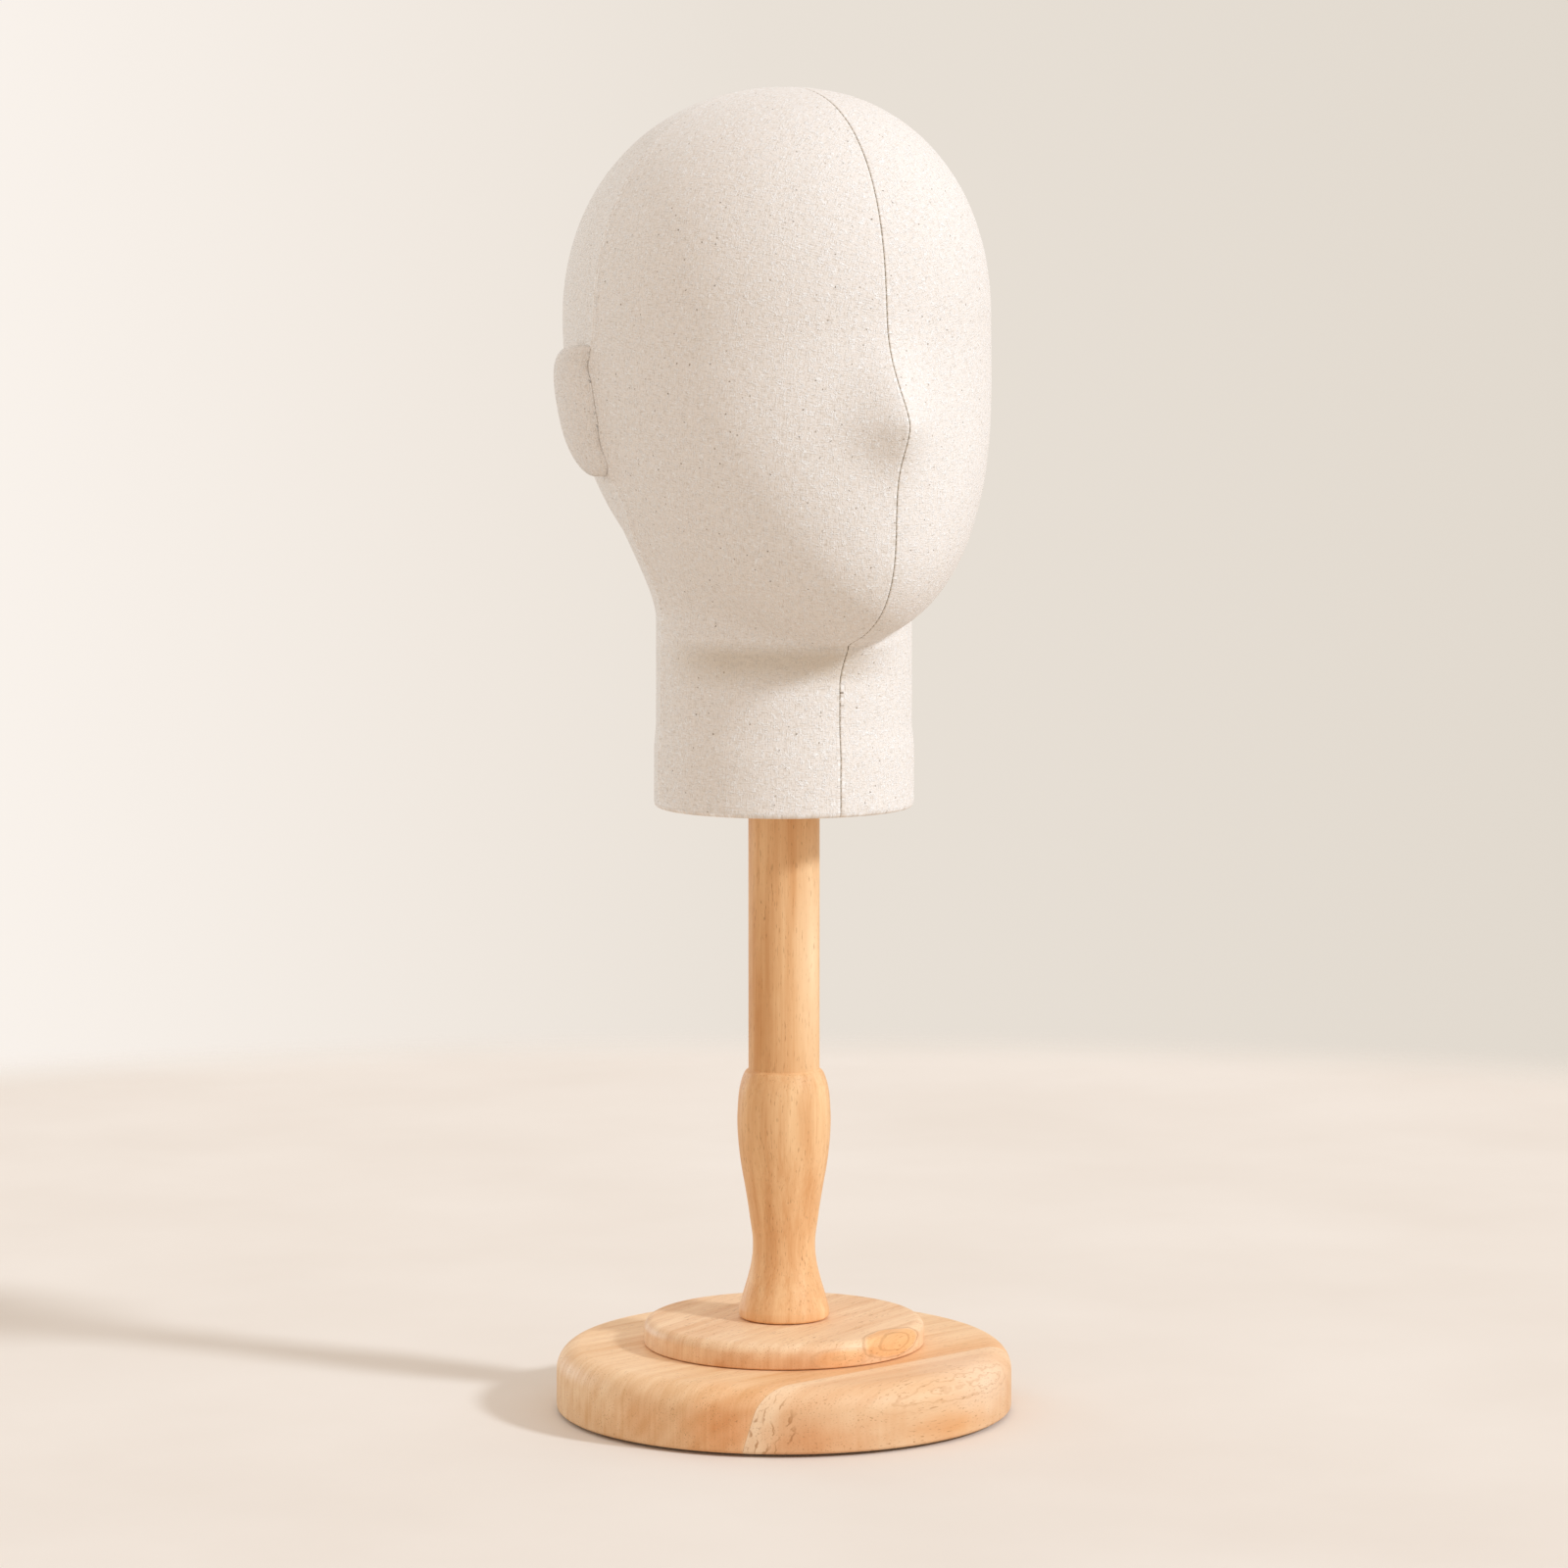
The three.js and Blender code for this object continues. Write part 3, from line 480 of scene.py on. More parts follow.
# Spirally wound grey-brown card: matt, with the slanting edges of its 25 mm paper strips
strips = (8.0, {"bands_direction": "DIAGONAL", "wave_profile": "SAW"})
fibres, tones = {"Scale": 600.0, "Detail": 5.0}, [(0.3, "#A58A68"), (0.9, "#C7AF8D")]
looks = "TexNoise", fibres, tones, (0.4, 0.15), (1, 1, 1), strips
card = patternedFinish("spirallyWoundCard", *looks, Roughness=0.85)
thread = sewingThread("linenSewingThreadBrown", "#857966", "#B0A48F")
paleThread = sewingThread("linenSewingThreadPale", "#DDD3C6", "#F0E9DF")
postPaintedLightAndShade = [  # painted light and shade: a pale streak on the lit side of the post's top and a darker patch down its shaded side; place, size and outline of each, in mm
    {"at": (6, -12, 182), "size": (9, 9, 58), "edge": 0.0, "blend": "MIX", "tint": "#FFDDB0"},
    {"at": (-12, -4, 150), "size": (10, 12, 90), "bend": 0.5, "edge": 0.1, "tint": "#ECDCC8"},
]
upright = (0, pi / 2, 0)  # the post's grain
postWood = turnedHardwood("turnedHardwoodPost", upright, "#F9CF9C", "#DFA66F", "#9C6636", figures=postPaintedLightAndShade)
steel = zincPlatedSteel()
print("materials made")

# The head's bare form, heights above the neck's edge and reaches from the post's axis, in mm
headForm = {
    "height": 279.5,
    "skullLevel": 190.0,
    "halfWidth": 80.0,
    "front": 89.0,
    "back": 106.0,
    "offset": 7.0,  # of the widest line behind the post
    "offsetFade": 91.4,  # height below the widest level over which that offset ends
    "domePower": 2.1,
    "browPower": 2.35,
    "jawLevel": 63.0,
    "jawPower": 2.2,
    "napeLevel": 97.0,
    "napePower": 2.0,
    "napeDepth": 0.8,
    "chinLevel": 120.0,
    "chinReach": 97.8,
    "chinPower": 3.0,
    "neckRadius": 50.0,
    "throatBlend": 5.0,
    "napeBlend": 20.0,
    "noseReach": 15.0,
    "noseLevel": 152.6,
    "noseRise": 20.2,
    "noseFall": 15.4,
    "noseRisePower": 1.6,
    "noseFallPower": 1.8,
    "noseHalfWidth": 7.8,
    "nosePower": 1.55,
    "throatFlare": 7.0,
    "throatFlareFrom": 52.0,
    "throatFlareTo": 65.0,
    "throatFlarePower": 1.4,
}
hem = {"height": 28.0, "thickness": 0.9, "rounding": 2.0, "fade": 12.0, "turnedIn": 1.7}
sideSeam = [  # behind the post's axis, height
    *[(5, 0), (4, 63), (-1, 104), (-4, 117.5), (-1, 127.5), (1.5, 146), (4, 173), (0, 195), (0, 279.5)]
]


def taper(t, power):
    return (1 - np.clip(t, 0, 1) ** power) ** (1 / power)


def easing(t):
    t = np.clip(t, 0, 1)
    return t * t * (3 - 2 * t)


def larger(a, b, blend):
    near = np.maximum(blend - np.abs(a - b), 0) / blend
    return np.maximum(a, b) + near * near * blend / 4


# Half width, reach to the front and to the back, and the middle's place behind the post, at a height
def skullAt(height):
    form, level = headForm, headForm["skullLevel"]
    up, down = (height - level) / (form["height"] - level), level - height
    towardsChin = easing(down / (level - form["chinLevel"]))
    cheek = form["front"] + (form["chinReach"] - form["front"]) * towardsChin
    chin = taper((form["chinLevel"] - height) / (form["chinLevel"] - form["jawLevel"]), form["chinPower"])
    jaw = form["halfWidth"] * taper(down / (level - form["jawLevel"]), form["jawPower"])
    nape = form["back"] * taper(down / (level - form["napeLevel"]), form["napePower"])
    dome = up >= 0
    side = np.where(dome, form["halfWidth"] * taper(up, form["domePower"]), jaw)
    front = np.where(dome, form["front"] * taper(up, form["browPower"]), cheek * chin)
    nape = np.maximum(nape, jaw * form["napeDepth"])
    back = np.where(dome, form["back"] * taper(up, form["domePower"]), nape)
    middle = form["offset"] * np.where(dome, taper(up, 2), easing(1 - down / form["offsetFade"]))
    return side, front, back, middle


# A point of the bare head at an angle from the face, 0 in front and a quarter turn at the left ear
def barePoint(angle, height):
    form = headForm
    side, front, back, middle = skullAt(height)
    aside, ahead = np.sin(angle), np.cos(angle)
    depth = np.maximum(np.where(ahead > 0, front + middle, back - middle), 1e-6)
    skull = 1 / np.hypot(aside / np.maximum(side, 1e-6), ahead / depth)
    neck = middle * ahead + np.sqrt(form["neckRadius"] ** 2 - (middle * aside) ** 2)
    blend = form["throatBlend"] + (form["napeBlend"] - form["throatBlend"]) * (1 - ahead) / 2
    facing = np.cos(np.clip(2 * np.arctan2(aside, ahead), -pi / 2, pi / 2)) ** 2
    rise = (height - form["throatFlareFrom"]) / (form["throatFlareTo"] - form["throatFlareFrom"])
    neck = neck + form["throatFlare"] * facing * np.clip(rise, 0, 1) ** form["throatFlarePower"]
    reach = np.where(height < form["skullLevel"], larger(skull, neck, blend), skull)
    above = height - form["noseLevel"]
    upwards = np.abs(above / form["noseRise"]) ** form["noseRisePower"]
    downwards = np.abs(above / form["noseFall"]) ** form["noseFallPower"]
    across = np.abs(reach * aside / form["noseHalfWidth"]) ** form["nosePower"]
    nose = form["noseReach"] * np.exp(-np.where(above > 0, upwards, downwards)) * np.exp(-across / 2)
    reach = reach + np.where(ahead > 0, nose, 0)
    return np.stack([reach * aside, middle - reach * ahead, height + 0 * angle], -1)


def outwards(angle, height):
    step, top = 0.01, headForm["height"] - 1e-4
    around = barePoint(angle + step, height) - barePoint(angle - step, height)
    higher, lower = np.minimum(height + step, top), np.maximum(height - step, 0)
    rise = barePoint(angle, higher) - barePoint(angle, lower)
    normal = np.cross(around, rise)
    return normal / np.linalg.norm(normal, axis=-1, keepdims=True)


seamPlaces = np.array(smoothLine(sideSeam, 12))


def sideSeamAngle(height):
    behind = np.interp(height, np.maximum.accumulate(seamPlaces[:, 1]), seamPlaces[:, 0])
    middle = skullAt(height)[3]
    angle = np.full(np.shape(height), pi / 2)
    for _ in range(8):
        point = barePoint(angle, height)
        reach = np.hypot(point[..., 0], point[..., 1] - middle)
        angle = np.arccos(np.clip((middle - behind) / np.maximum(reach, 1e-6), -1, 1))
    return angle


def hemOut(height):
    return hem["thickness"] * (1 - easing((height - hem["height"] + hem["fade"] / 2) / hem["fade"]))


# Linen panels: a grid is laid over a quarter of the head, with its edges rolled into the seams
panelCloth = {
    "rows": 300,
    "columns": 72,  # between the rolled edges
    "middleEdge": [  # distance from the seam and depth, in mm
        *[(0.1, -1.5), (0.1, -0.75), (0.14, -0.42), (0.26, -0.2), (0.46, -0.05)],
        *[(0.75, 0), (1.3, 0), (2.1, 0), (3.3, 0)],
    ],
    "sideEdge": [
        *[(0.03, -1.5), (0.03, -0.6), (0.05, -0.32), (0.13, -0.16), (0.3, -0.05)],
        *[(0.6, 0), (1.2, 0.05), (2.1, 0.06), (3.3, 0)],
    ],
    "thickness": 0.6,
    "ridge": 0.9,  # mm that the seam allowances lift the cloth along the side seams
    "ridgeFade": 5.0,
    "slack": 0.12,  # mm of unevenness in how the cloth lies
    "slackSpan": 16.0,
    "pattern": (46, 22),  # rows and columns of the laid-flat pattern
    "weaveShift": (0.35, 0.4),  # metres that keep the weaves of the panels apart
}


def panelLevels():
    fine = headForm["height"] * (1 - (1 - np.linspace(0, 0.9995, 3000)) ** 2)
    fine = fine[fine >= hem["rounding"]]
    steps = np.zeros(len(fine) - 1)
    for angle in (0.3, 0.9, 1.6, 2.4, 3.0):
        line = barePoint(np.full(len(fine), angle), fine)
        steps = np.maximum(steps, np.linalg.norm(np.diff(line, axis=0), axis=1))
    travelled = np.concatenate([[0], np.cumsum(steps)])
    heights = np.interp(np.linspace(0, travelled[-1], panelCloth["rows"]), travelled, fine)
    turned = roundedCorner(hem["thickness"] - hem["rounding"], hem["rounding"], hem["rounding"], -90, 0)
    lower = [(0.03, -hem["turnedIn"])] + [(max(h, 0.0), out) for out, h in turned[:-1]]
    heights = np.concatenate([[h for h, _ in lower], heights])
    outs = np.concatenate([[out for _, out in lower], hemOut(heights[len(lower) :])])
    return heights, outs


panelHeights, panelOuts = panelLevels()


def ridgeAt(fromSeam, height):
    share = easing(height / 12) * easing((headForm["height"] - height) / 25)
    return panelCloth["ridge"] * np.exp(-np.abs(fromSeam) / panelCloth["ridgeFade"]) * share


# Angles, rolled depths and lift of one panel's columns, row by row from the middle seam to the side seam
def panelColumns(end):
    edge, sideEdge = np.array(panelCloth["middleEdge"]), np.array(panelCloth["sideEdge"])
    seams = sideSeamAngle(panelHeights)
    angles, lifts = [], []
    for height, seam in zip(panelHeights, seams):
        fine = np.linspace(0 if end < 0 else pi, seam, 240)
        travelled = lengthsAlong(barePoint(fine, np.full(240, height)))
        width = travelled[-1]
        near = edge[:, 0] * min(1, width / 14)
        far = sideEdge[:, 0] * min(1, width / 14)
        middle = np.linspace(near[-1], width - far[-1], panelCloth["columns"] + 2)[1:-1]
        columns = np.concatenate([near, middle, (width - far)[::-1]])
        angles.append(np.interp(columns, travelled, fine))
        lifts.append(ridgeAt(width - columns, height))
    depths = np.concatenate([edge[:, 1], np.zeros(panelCloth["columns"]), sideEdge[::-1, 1]])
    return np.array(angles), depths + np.array(lifts)


# How a panel lies when it is unpicked and laid flat, so that the weave runs as it was cut
def laidFlat(places):
    rows, columns = places.shape[:2]
    pattern, row, column = gridPiece(rows, columns)
    placeVertices(pattern, places[row, column])
    editWhole(pattern)
    bpy.ops.uv.unwrap(method="MINIMUM_STRETCH", iterations=30, margin=0)
    leaveEdit()
    corners = np.empty(len(pattern.data.loops) * 2)
    pattern.data.uv_layers.active.uv.foreach_get("vector", corners)
    vertices = cornerVertices(pattern)
    flat = np.zeros((rows, columns, 2))
    flat[row[vertices], column[vertices]] = corners.reshape(-1, 2)
    bpy.data.objects.remove(pattern)
    across, along = flat[:, 1:] - flat[:, :-1], places[:, 1:] - places[:, :-1]
    flat *= np.linalg.norm(along, axis=-1).sum() / np.linalg.norm(across, axis=-1).sum()
    upright = flat[int(rows * 0.7), 0] - flat[int(rows * 0.1), 0]
    turn = pi / 2 - atan2(upright[1], upright[0])
    flat = flat @ np.array([[cos(turn), sin(turn)], [-sin(turn), cos(turn)]])
    if flat[rows // 2, -1, 0] < flat[rows // 2, 0, 0]:
        flat[..., 0] *= -1
    return flat - flat[0, 0]


# Values known at some places of each line, spread over all of its places
def spreadOver(values, known, count):
    return np.stack([readAt(np.arange(count), known, line) for line in values])


flatPanels = {}


def clothPanel(side, end):
    angles, depths = panelColumns(end)
    heights = np.repeat(panelHeights[:, None], angles.shape[1], 1)
    normals = outwards(side * angles, heights)
    out = panelOuts[:, None] + depths
    places = barePoint(side * angles, heights) + normals * out[..., None]
    crown = np.array([side * 0.1, end * 0.1, headForm["height"] - 0.2])
    places = np.concatenate([places, np.broadcast_to(crown, (1, places.shape[1], 3))])
    rows, columns = places.shape[:2]
    if end not in flatPanels:
        edge = len(panelCloth["middleEdge"])
        rowCount, columnCount = panelCloth["pattern"]
        someRows = np.unique(np.linspace(8, rows - 3, rowCount).astype(int))
        someColumns = np.unique(np.linspace(edge - 3, columns - edge + 2, columnCount).astype(int))
        flat = laidFlat(places[np.ix_(someRows, someColumns)] * mm)
        flat = spreadOver(flat, someColumns, columns)
        flatPanels[end] = spreadOver(flat.transpose(1, 0, 2), someRows, rows).transpose(1, 0, 2)
    cloth = flatPanels[end] * [side, 1] + np.array(panelCloth["weaveShift"]) * [side, end]

    piece, row, column = gridPiece(rows, columns)
    grid = places[row, column]
    span = panelCloth["slackSpan"]
    lift = np.array([noise.noise(Vector(p / span)) for p in grid]) * panelCloth["slack"]
    normals = np.concatenate([normals, normals[-1:]])
    grid = grid + normals[row, column] * lift[:, None]
    grid[:, 2] += neckEdge
    placeVertices(piece, grid * mm)
    layWeave(piece, cloth[row, column])
    mergeAndTurnOut(piece)
    middle = piece.data.polygons[len(piece.data.polygons) // 2]
    if middle.normal.dot(middle.center - Vector((0, 0, (neckEdge + 150) * mm))) < 0:
        editWhole(piece)
        bpy.ops.mesh.flip_normals()
        leaveEdit()
    applyModifier(piece, "SOLIDIFY", thickness=panelCloth["thickness"] * mm, offset=-1)
    name = ("face_panel_" if end < 0 else "back_panel_") + ("left" if side > 0 else "right")
    finishPiece(piece, name + "_linen", "head", linen, name, 50)


for side in (1, -1):
    for end in (-1, 1):
        clothPanel(side, end)
print("linen panels laid over the head")

# Seam stitches: one stitch is modelled, repeated, and laid along the seam
stitching = {
    "pitch": 3.0,
    "length": 2.4,
    "thickness": 0.44,
    "middleSunk": 0.34,  # below the linen, where the seam lies open
    "sideSunk": 0.6,
    "dip": 0.3,
    "narrowing": 0.45,  # towards a stitch's ends
    "start": 1.2,
    "end": 2.5,
}


def stitchedSeam(node, angleAt, material, sunk):
    pitch, length, radius = stitching["pitch"], stitching["length"], stitching["thickness"] / 2
    heights = panelHeights[9:]
    angles = angleAt(heights)
    normals = outwards(angles, heights)
    path = barePoint(angles, heights) + normals * (hemOut(heights) - sunk)[:, None]
    travelled = lengthsAlong(path)
    deselectAll()
    bpy.ops.mesh.primitive_cylinder_add(
        vertices=6,
        radius=radius * mm,
        depth=length * mm,
        rotation=(0, pi / 2, 0),
        location=(pitch / 2 * mm, 0, 0),
    )
    bpy.ops.object.transform_apply(location=True, rotation=True, scale=True)
    piece = bpy.context.object
    for share in (0.2, 0.5, 0.8):
        editWhole(piece)
        cut = (pitch - length) / 2 + share * length
        bpy.ops.mesh.bisect(plane_co=(cut * mm, 0, 0), plane_no=(1, 0, 0))
    leaveEdit()
    places = vertexPlaces(piece) / mm
    fromMiddle = np.abs(places[:, 0] - pitch / 2) / (length / 2)
    places[:, 1:] *= (1 - stitching["narrowing"] * fromMiddle**3)[:, None]
    places[:, 2] -= stitching["dip"] * fromMiddle**4
    placeVertices(piece, places * mm)
    count = int((travelled[-1] - stitching["start"] - stitching["end"]) / pitch)
    between = {"use_relative_offset": False, "use_constant_offset": True}
    applyModifier(piece, "ARRAY", count=count, constant_offset_displace=(pitch * mm, 0, 0), **between)
    places = vertexPlaces(piece) / mm
    along = np.clip(places[:, 0] + stitching["start"], 0, travelled[-1])
    on, up = readAt(along, travelled, path), readAt(along, travelled, normals)
    aside = np.cross(up, readAt(along, travelled, np.gradient(path, travelled, axis=0)))
    aside /= np.linalg.norm(aside, axis=1, keepdims=True)
    laid = on + aside * places[:, 1:2] + up * places[:, 2:3] + [0, 0, neckEdge]
    placeVertices(piece, laid * mm)
    mergeAndTurnOut(piece)
    finishPiece(piece, node.replace("thread", "stitches"), "head", material, node, 60)


for node, angleAt, material, sunk in (
    ("centre_seam_thread", lambda heights: heights * 0, thread, "middleSunk"),
    ("back_seam_thread", lambda heights: heights * 0 + pi, thread, "middleSunk"),
    ("side_seam_thread_left", sideSeamAngle, paleThread, "sideSunk"),
    ("side_seam_thread_right", lambda heights: -sideSeamAngle(heights), paleThread, "sideSunk"),
):
    stitchedSeam(node, angleAt, material, stitching[sunk])
print("seams stitched")

# Ears: a ball is drawn out to a flat padded pouch that stands on the side seam
earForm = {
    "level": 155.3,
    "halfHeight": 25.2,
    "reach": 25.3,
    "thickness": 9.0,
    "lean": 12.0,  # degrees from straight back
    "topPower": 3.8,
    "lobePower": 2.5,
    "rootGaps": [(0.66, 0.16, 2.6), (-0.48, 0.22, 2.6)],  # between ear and seam: middle level, spread, mm
    "topEnd": (0.86, 4.0),  # level from which the front edge rounds back, and by how much
    "lobeEnd": (0.7, 9.0),
    "bluntness": 0.35,
    "clear": 0.15,  # least space between an ear and the head's linen
    "linenAndRoom": 1.0,  # between the outside of an ear and its wadding
    "section": [  # shares of the reach and of half the thickness, round from the root's inner side
        *[(0.03, -1.3), (0.0, -0.6), (0.005, -0.1), (0.04, 0.4), (0.12, 0.8), (0.28, 1.08), (0.5, 1.12)],
        *[(0.74, 0.95), (0.92, 0.55), (1.0, 0.0), (0.95, -0.45), (0.8, -0.8), (0.5, -1.1), (0.2, -1.35)],
    ],
}


# The pouch of one ear, or the wadding in it when it is drawn in
def ear(side, name, material, node, inset=0.0):
    form = earForm
    reach, halfHeight = form["reach"] - 2 * inset, form["halfHeight"] - 1.5 * inset
    halfThickness = form["thickness"] / 2 - inset
    deselectAll()
    bpy.ops.mesh.primitive_uv_sphere_add(segments=96, ring_count=72, radius=1)
    piece = bpy.context.object
    ball = vertexPlaces(piece)
    level = np.clip(ball[:, 2], -1, 1)
    turn = (np.arctan2(ball[:, 1], ball[:, 0]) / (2 * pi)) % 1
    ring = np.array(smoothLine([*form["section"], form["section"][0]], 12))
    lengths = lengthsAlong(ring * [reach, halfThickness])
    along, across = readAt(turn, lengths / lengths[-1], ring).T
    height = form["level"] + level * halfHeight
    left = taper(np.abs(level), np.where(level > 0, form["topPower"], form["lobePower"]))
    lean = radians(form["lean"])
    back = np.array([side * sin(lean), cos(lean), 0])
    out = np.array([side * cos(lean), -sin(lean), 0])
    root = barePoint(side * sideSeamAngle(height), height)
    gap = sum(most * np.exp(-(((level - at) / spread) ** 2)) for at, spread, most in form["rootGaps"])
    gap = gap * np.maximum(1 - along * 1.6, 0) + inset
    start, tip = np.where(level > 0, *[np.array([form[key]]).T for key in ("topEnd", "lobeEnd")])
    front = tip * (1 - taper((np.abs(level) - start) / (1 - start), 2))
    rear = reach * left + tip * (1 - left)
    places = (
        root
        + back * (front + along * (rear - front) + gap)[:, None]
        + out * (across * halfThickness * left ** form["bluntness"])[:, None]
    )
    middle = skullAt(places[:, 2])[3]
    angle = np.arctan2(places[:, 0], middle - places[:, 1])
    onHead = barePoint(angle, places[:, 2])
    reachOnHead = np.hypot(onHead[:, 0], onHead[:, 1] - middle)
    gap = np.hypot(places[:, 0], places[:, 1] - middle) - reachOnHead
    fromSeam = (np.abs(angle) - sideSeamAngle(places[:, 2])) * reachOnHead
    push = np.maximum(form["clear"] + inset + ridgeAt(fromSeam, places[:, 2]) - gap, 0)
    away = np.stack([np.sin(angle), -np.cos(angle), np.zeros(len(angle))], -1)
    places = places + away * push[:, None]
    cloth = np.stack([np.where(turn < 0.5, turn, 1 - turn) * 0.1, places[:, 2] * mm], -1)
    places[:, 2] += neckEdge
    placeVertices(piece, places * mm)
    layWeave(piece, cloth)
    mergeAndTurnOut(piece)
    if not inset:
        applyModifier(piece, "SOLIDIFY", thickness=panelCloth["thickness"] * mm, offset=-1)
    finishPiece(piece, name, "head", material, node, 180)


for side, word in ((1, "left"), (-1, "right")):
    ear(side, word + "_ear_linen", linen, word + "_ear_cover")
    ear(side, word + "_ear_wadding", wadding, word + "_ear_filling", earForm["linenAndRoom"])
print("ears sewn on")

# The foam inside the linen, with a hole for the socket
foamForm = {"inset": 2.4, "columns": 120, "holeRadius": 18.3, "holeTop": 93.9}


def foamCore():
    form = foamForm
    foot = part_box("head_core")[0].z / mm - neckEdge
    heights = np.concatenate([[foot], panelHeights[(panelHeights > foot + 2)][::2]])[::-1]
    angles = np.linspace(-pi, pi, form["columns"] + 1)
    around, up = np.meshgrid(angles, heights)
    outer = barePoint(around, up) - outwards(around, up) * form["inset"]
    outer[-1, :, 2] = foot
    crown = np.broadcast_to([0, 0, headForm["height"] - form["inset"]], (1, len(angles), 3))
    ring = np.stack([np.sin(angles), -np.cos(angles), 0 * angles], -1) * form["holeRadius"]
    hole = [ring + [0, 0, foot], ring + [0, 0, form["holeTop"]], ring * 0 + [0, 0, form["holeTop"]]]
    places = np.concatenate([crown, outer, hole])
    piece, row, column = gridPiece(*places.shape[:2])
    placeVertices(piece, (places[row, column] + [0, 0, neckEdge]) * mm)
    mergeAndTurnOut(piece)
    finishPiece(piece, "head_core_foam", "head", foam, "head_core", 50)


foamCore()
print("foam core shaped")

# The underside of the neck: a linen round, the bush and the socket
neckUnderside = {"postMouth": 15.2, "outer": 47.9, "thickness": 1.5, "rounding": 0.6}
bush = {"bore": 14.3, "radius": 15.9, "foot": 1.8, "top": 90.3, "cap": 2.0, "rounding": 0.6}
socket = {"bore": 16.2, "radius": 18.0, "foot": 1.8, "top": 93.6, "cap": 3.0, "rounding": 0.4}


def cappedSleeve(form):
    bore, radius, rounding = form["bore"], form["radius"], form["rounding"]
    foot, top, cap = form["foot"] + neckEdge, form["top"] + neckEdge, form["top"] + neckEdge - form["cap"]
    wall = roundedCorners(bore, radius, foot, top, rounding, (0, 1, 2))
    return [(0, cap), (bore, cap), *wall, (0, top)]


form = neckUnderside
heights = neckEdge, neckEdge + form["thickness"]
ring = roundedCorners(form["postMouth"], form["outer"], *heights, form["rounding"], range(4))
underCover = turnedPiece(ring + ring[:1])
layWeave(underCover, vertexPlaces(underCover)[:, :2])
finishPiece(underCover, "neck_underside_linen", "head", linen, "neck_base_cover")
moulding, tube = [turnedPiece(cappedSleeve(form), 64) for form in (bush, socket)]
finishPiece(moulding, "neck_bush_moulding", "bush", nylon, "neck_bush")
finishPiece(tube, "socket_card_tube", "head", card, "socket_tube")
print("neck closed below")

# Turned post, radii and heights above the ground in mm
postForm = {
    "foot": 17.8,
    "footRounding": 1.2,
    "body": [  # foot, waist, vase and shoulder
        *[(17.8, 40.5), (17.3, 42.5), (16.2, 46.5), (15.0, 50.5), (13.9, 54.5), (13.0, 58.5), (12.45, 62.5)],
        *[(12.3, 66.0), (12.5, 70.0), (13.3, 75.5), (14.2, 82.0), (15.5, 90.0), (16.9, 98.0), (17.9, 106.0)],
        *[(18.4, 114.0), (18.3, 120.0), (17.8, 126.5), (16.9, 131.0), (15.6, 134.6), (14.5, 135.8)],
    ],
    "dowel": 14.0,
    "crease": 136.2,
    "topChamfer": 1.5,
    "boltHole": 4.3,
    "boltTop": 28.3,  # of the hole, above the post's foot
}


def postProfile():
    form = postForm
    hole, dowel, crease, rounding = form["boltHole"], form["dowel"], form["crease"], form["footRounding"]
    profile = [(0, postFoot + form["boltTop"]), (hole, postFoot + form["boltTop"]), (hole, postFoot)]
    profile += roundedCorner(form["foot"] - rounding, postFoot + rounding, rounding, -90, 0, 4)
    profile += smoothLine(form["body"], 4) + [(dowel, crease), (dowel, crease + 0.6)]
    profile += [(dowel, crease + (postTop - crease - 2) * i / 6) for i in range(1, 7)]
    return profile + [(dowel - form["topChamfer"], postTop), (0, postTop)]


post = turnedPiece(postProfile(), 128)
finishPiece(post, "turned_post_wood", "stand", postWood, "turned_post", 40)

# Base discs: each is turned whole and drilled, and the lower one is cut along its glue joint into two boards
lowerDisc = {
    "radius": 90.0,
    "foot": 1.3,
    "top": 26.5,
    "footRounding": 1.5,
    "rounding": 10.0,
    "bore": [(0, 1.3), (9.8, 1.3), (9.8, 3.2), (6.0, 3.2), (6.0, 11.6), (4.3, 11.6), (4.3, 26.5)],
}
glueJoint = {"distance": 60.9, "azimuth": -73.5, "lean": 13.0, "width": 0.1}  # at the top, from the axis
upperDisc = {
    "radius": 55.4,
    "foot": 26.8,
    "top": 36.7,
    "footRounding": 0.8,
    "rounding": 4.0,
    "bore": [(0, 26.8), (4.3, 26.8), (4.3, 36.7)],
}
screws = {"circle": 32.0, "count": 3, "shank": 2.3, "head": 4.3, "headDepth": 2.7, "foot": 1.3, "top": 33.1}


def screwHole(index):
    foot, shank, circle = screws["foot"], screws["shank"], screws["circle"] * mm
    profile = [(0, foot - 1), (screws["head"] + 1, foot - 1), (shank, foot + screws["headDepth"])]
    hole = turnedPiece([*profile, (shank, screws["top"] - 2), (0, screws["top"])], 16)
    angle = 2 * pi * index / screws["count"]
    hole.location = (circle * cos(angle), circle * sin(angle), 0)
    makeActive(hole)
    bpy.ops.object.transform_apply(location=True)
    return hole


def drilledDisc(disc):
    bore, foot, top = disc["bore"], disc["footRounding"], disc["rounding"]
    profile = roundedCorner(disc["radius"] - foot, disc["foot"] + foot, foot, -90, 0, 4)
    profile += roundedCorner(disc["radius"] - top, disc["top"] - top, top, 0, 90, 12)
    whole = turnedPiece([bore[0], *profile, *bore[:0:-1]], 144)
    for i in range(screws["count"]):
        hole = screwHole(i)
        applyModifier(whole, "BOOLEAN", operation="DIFFERENCE", object=hole, solver="EXACT")
        bpy.data.objects.remove(hole)
    return whole


jointTurn, jointLean = radians(glueJoint["azimuth"]), radians(glueJoint["lean"])
jointNormal = Vector((cos(jointTurn), sin(jointTurn), -tan(jointLean)))
jointReach = glueJoint["distance"] - lowerDisc["top"] * tan(jointLean)  # of the plane at the ground


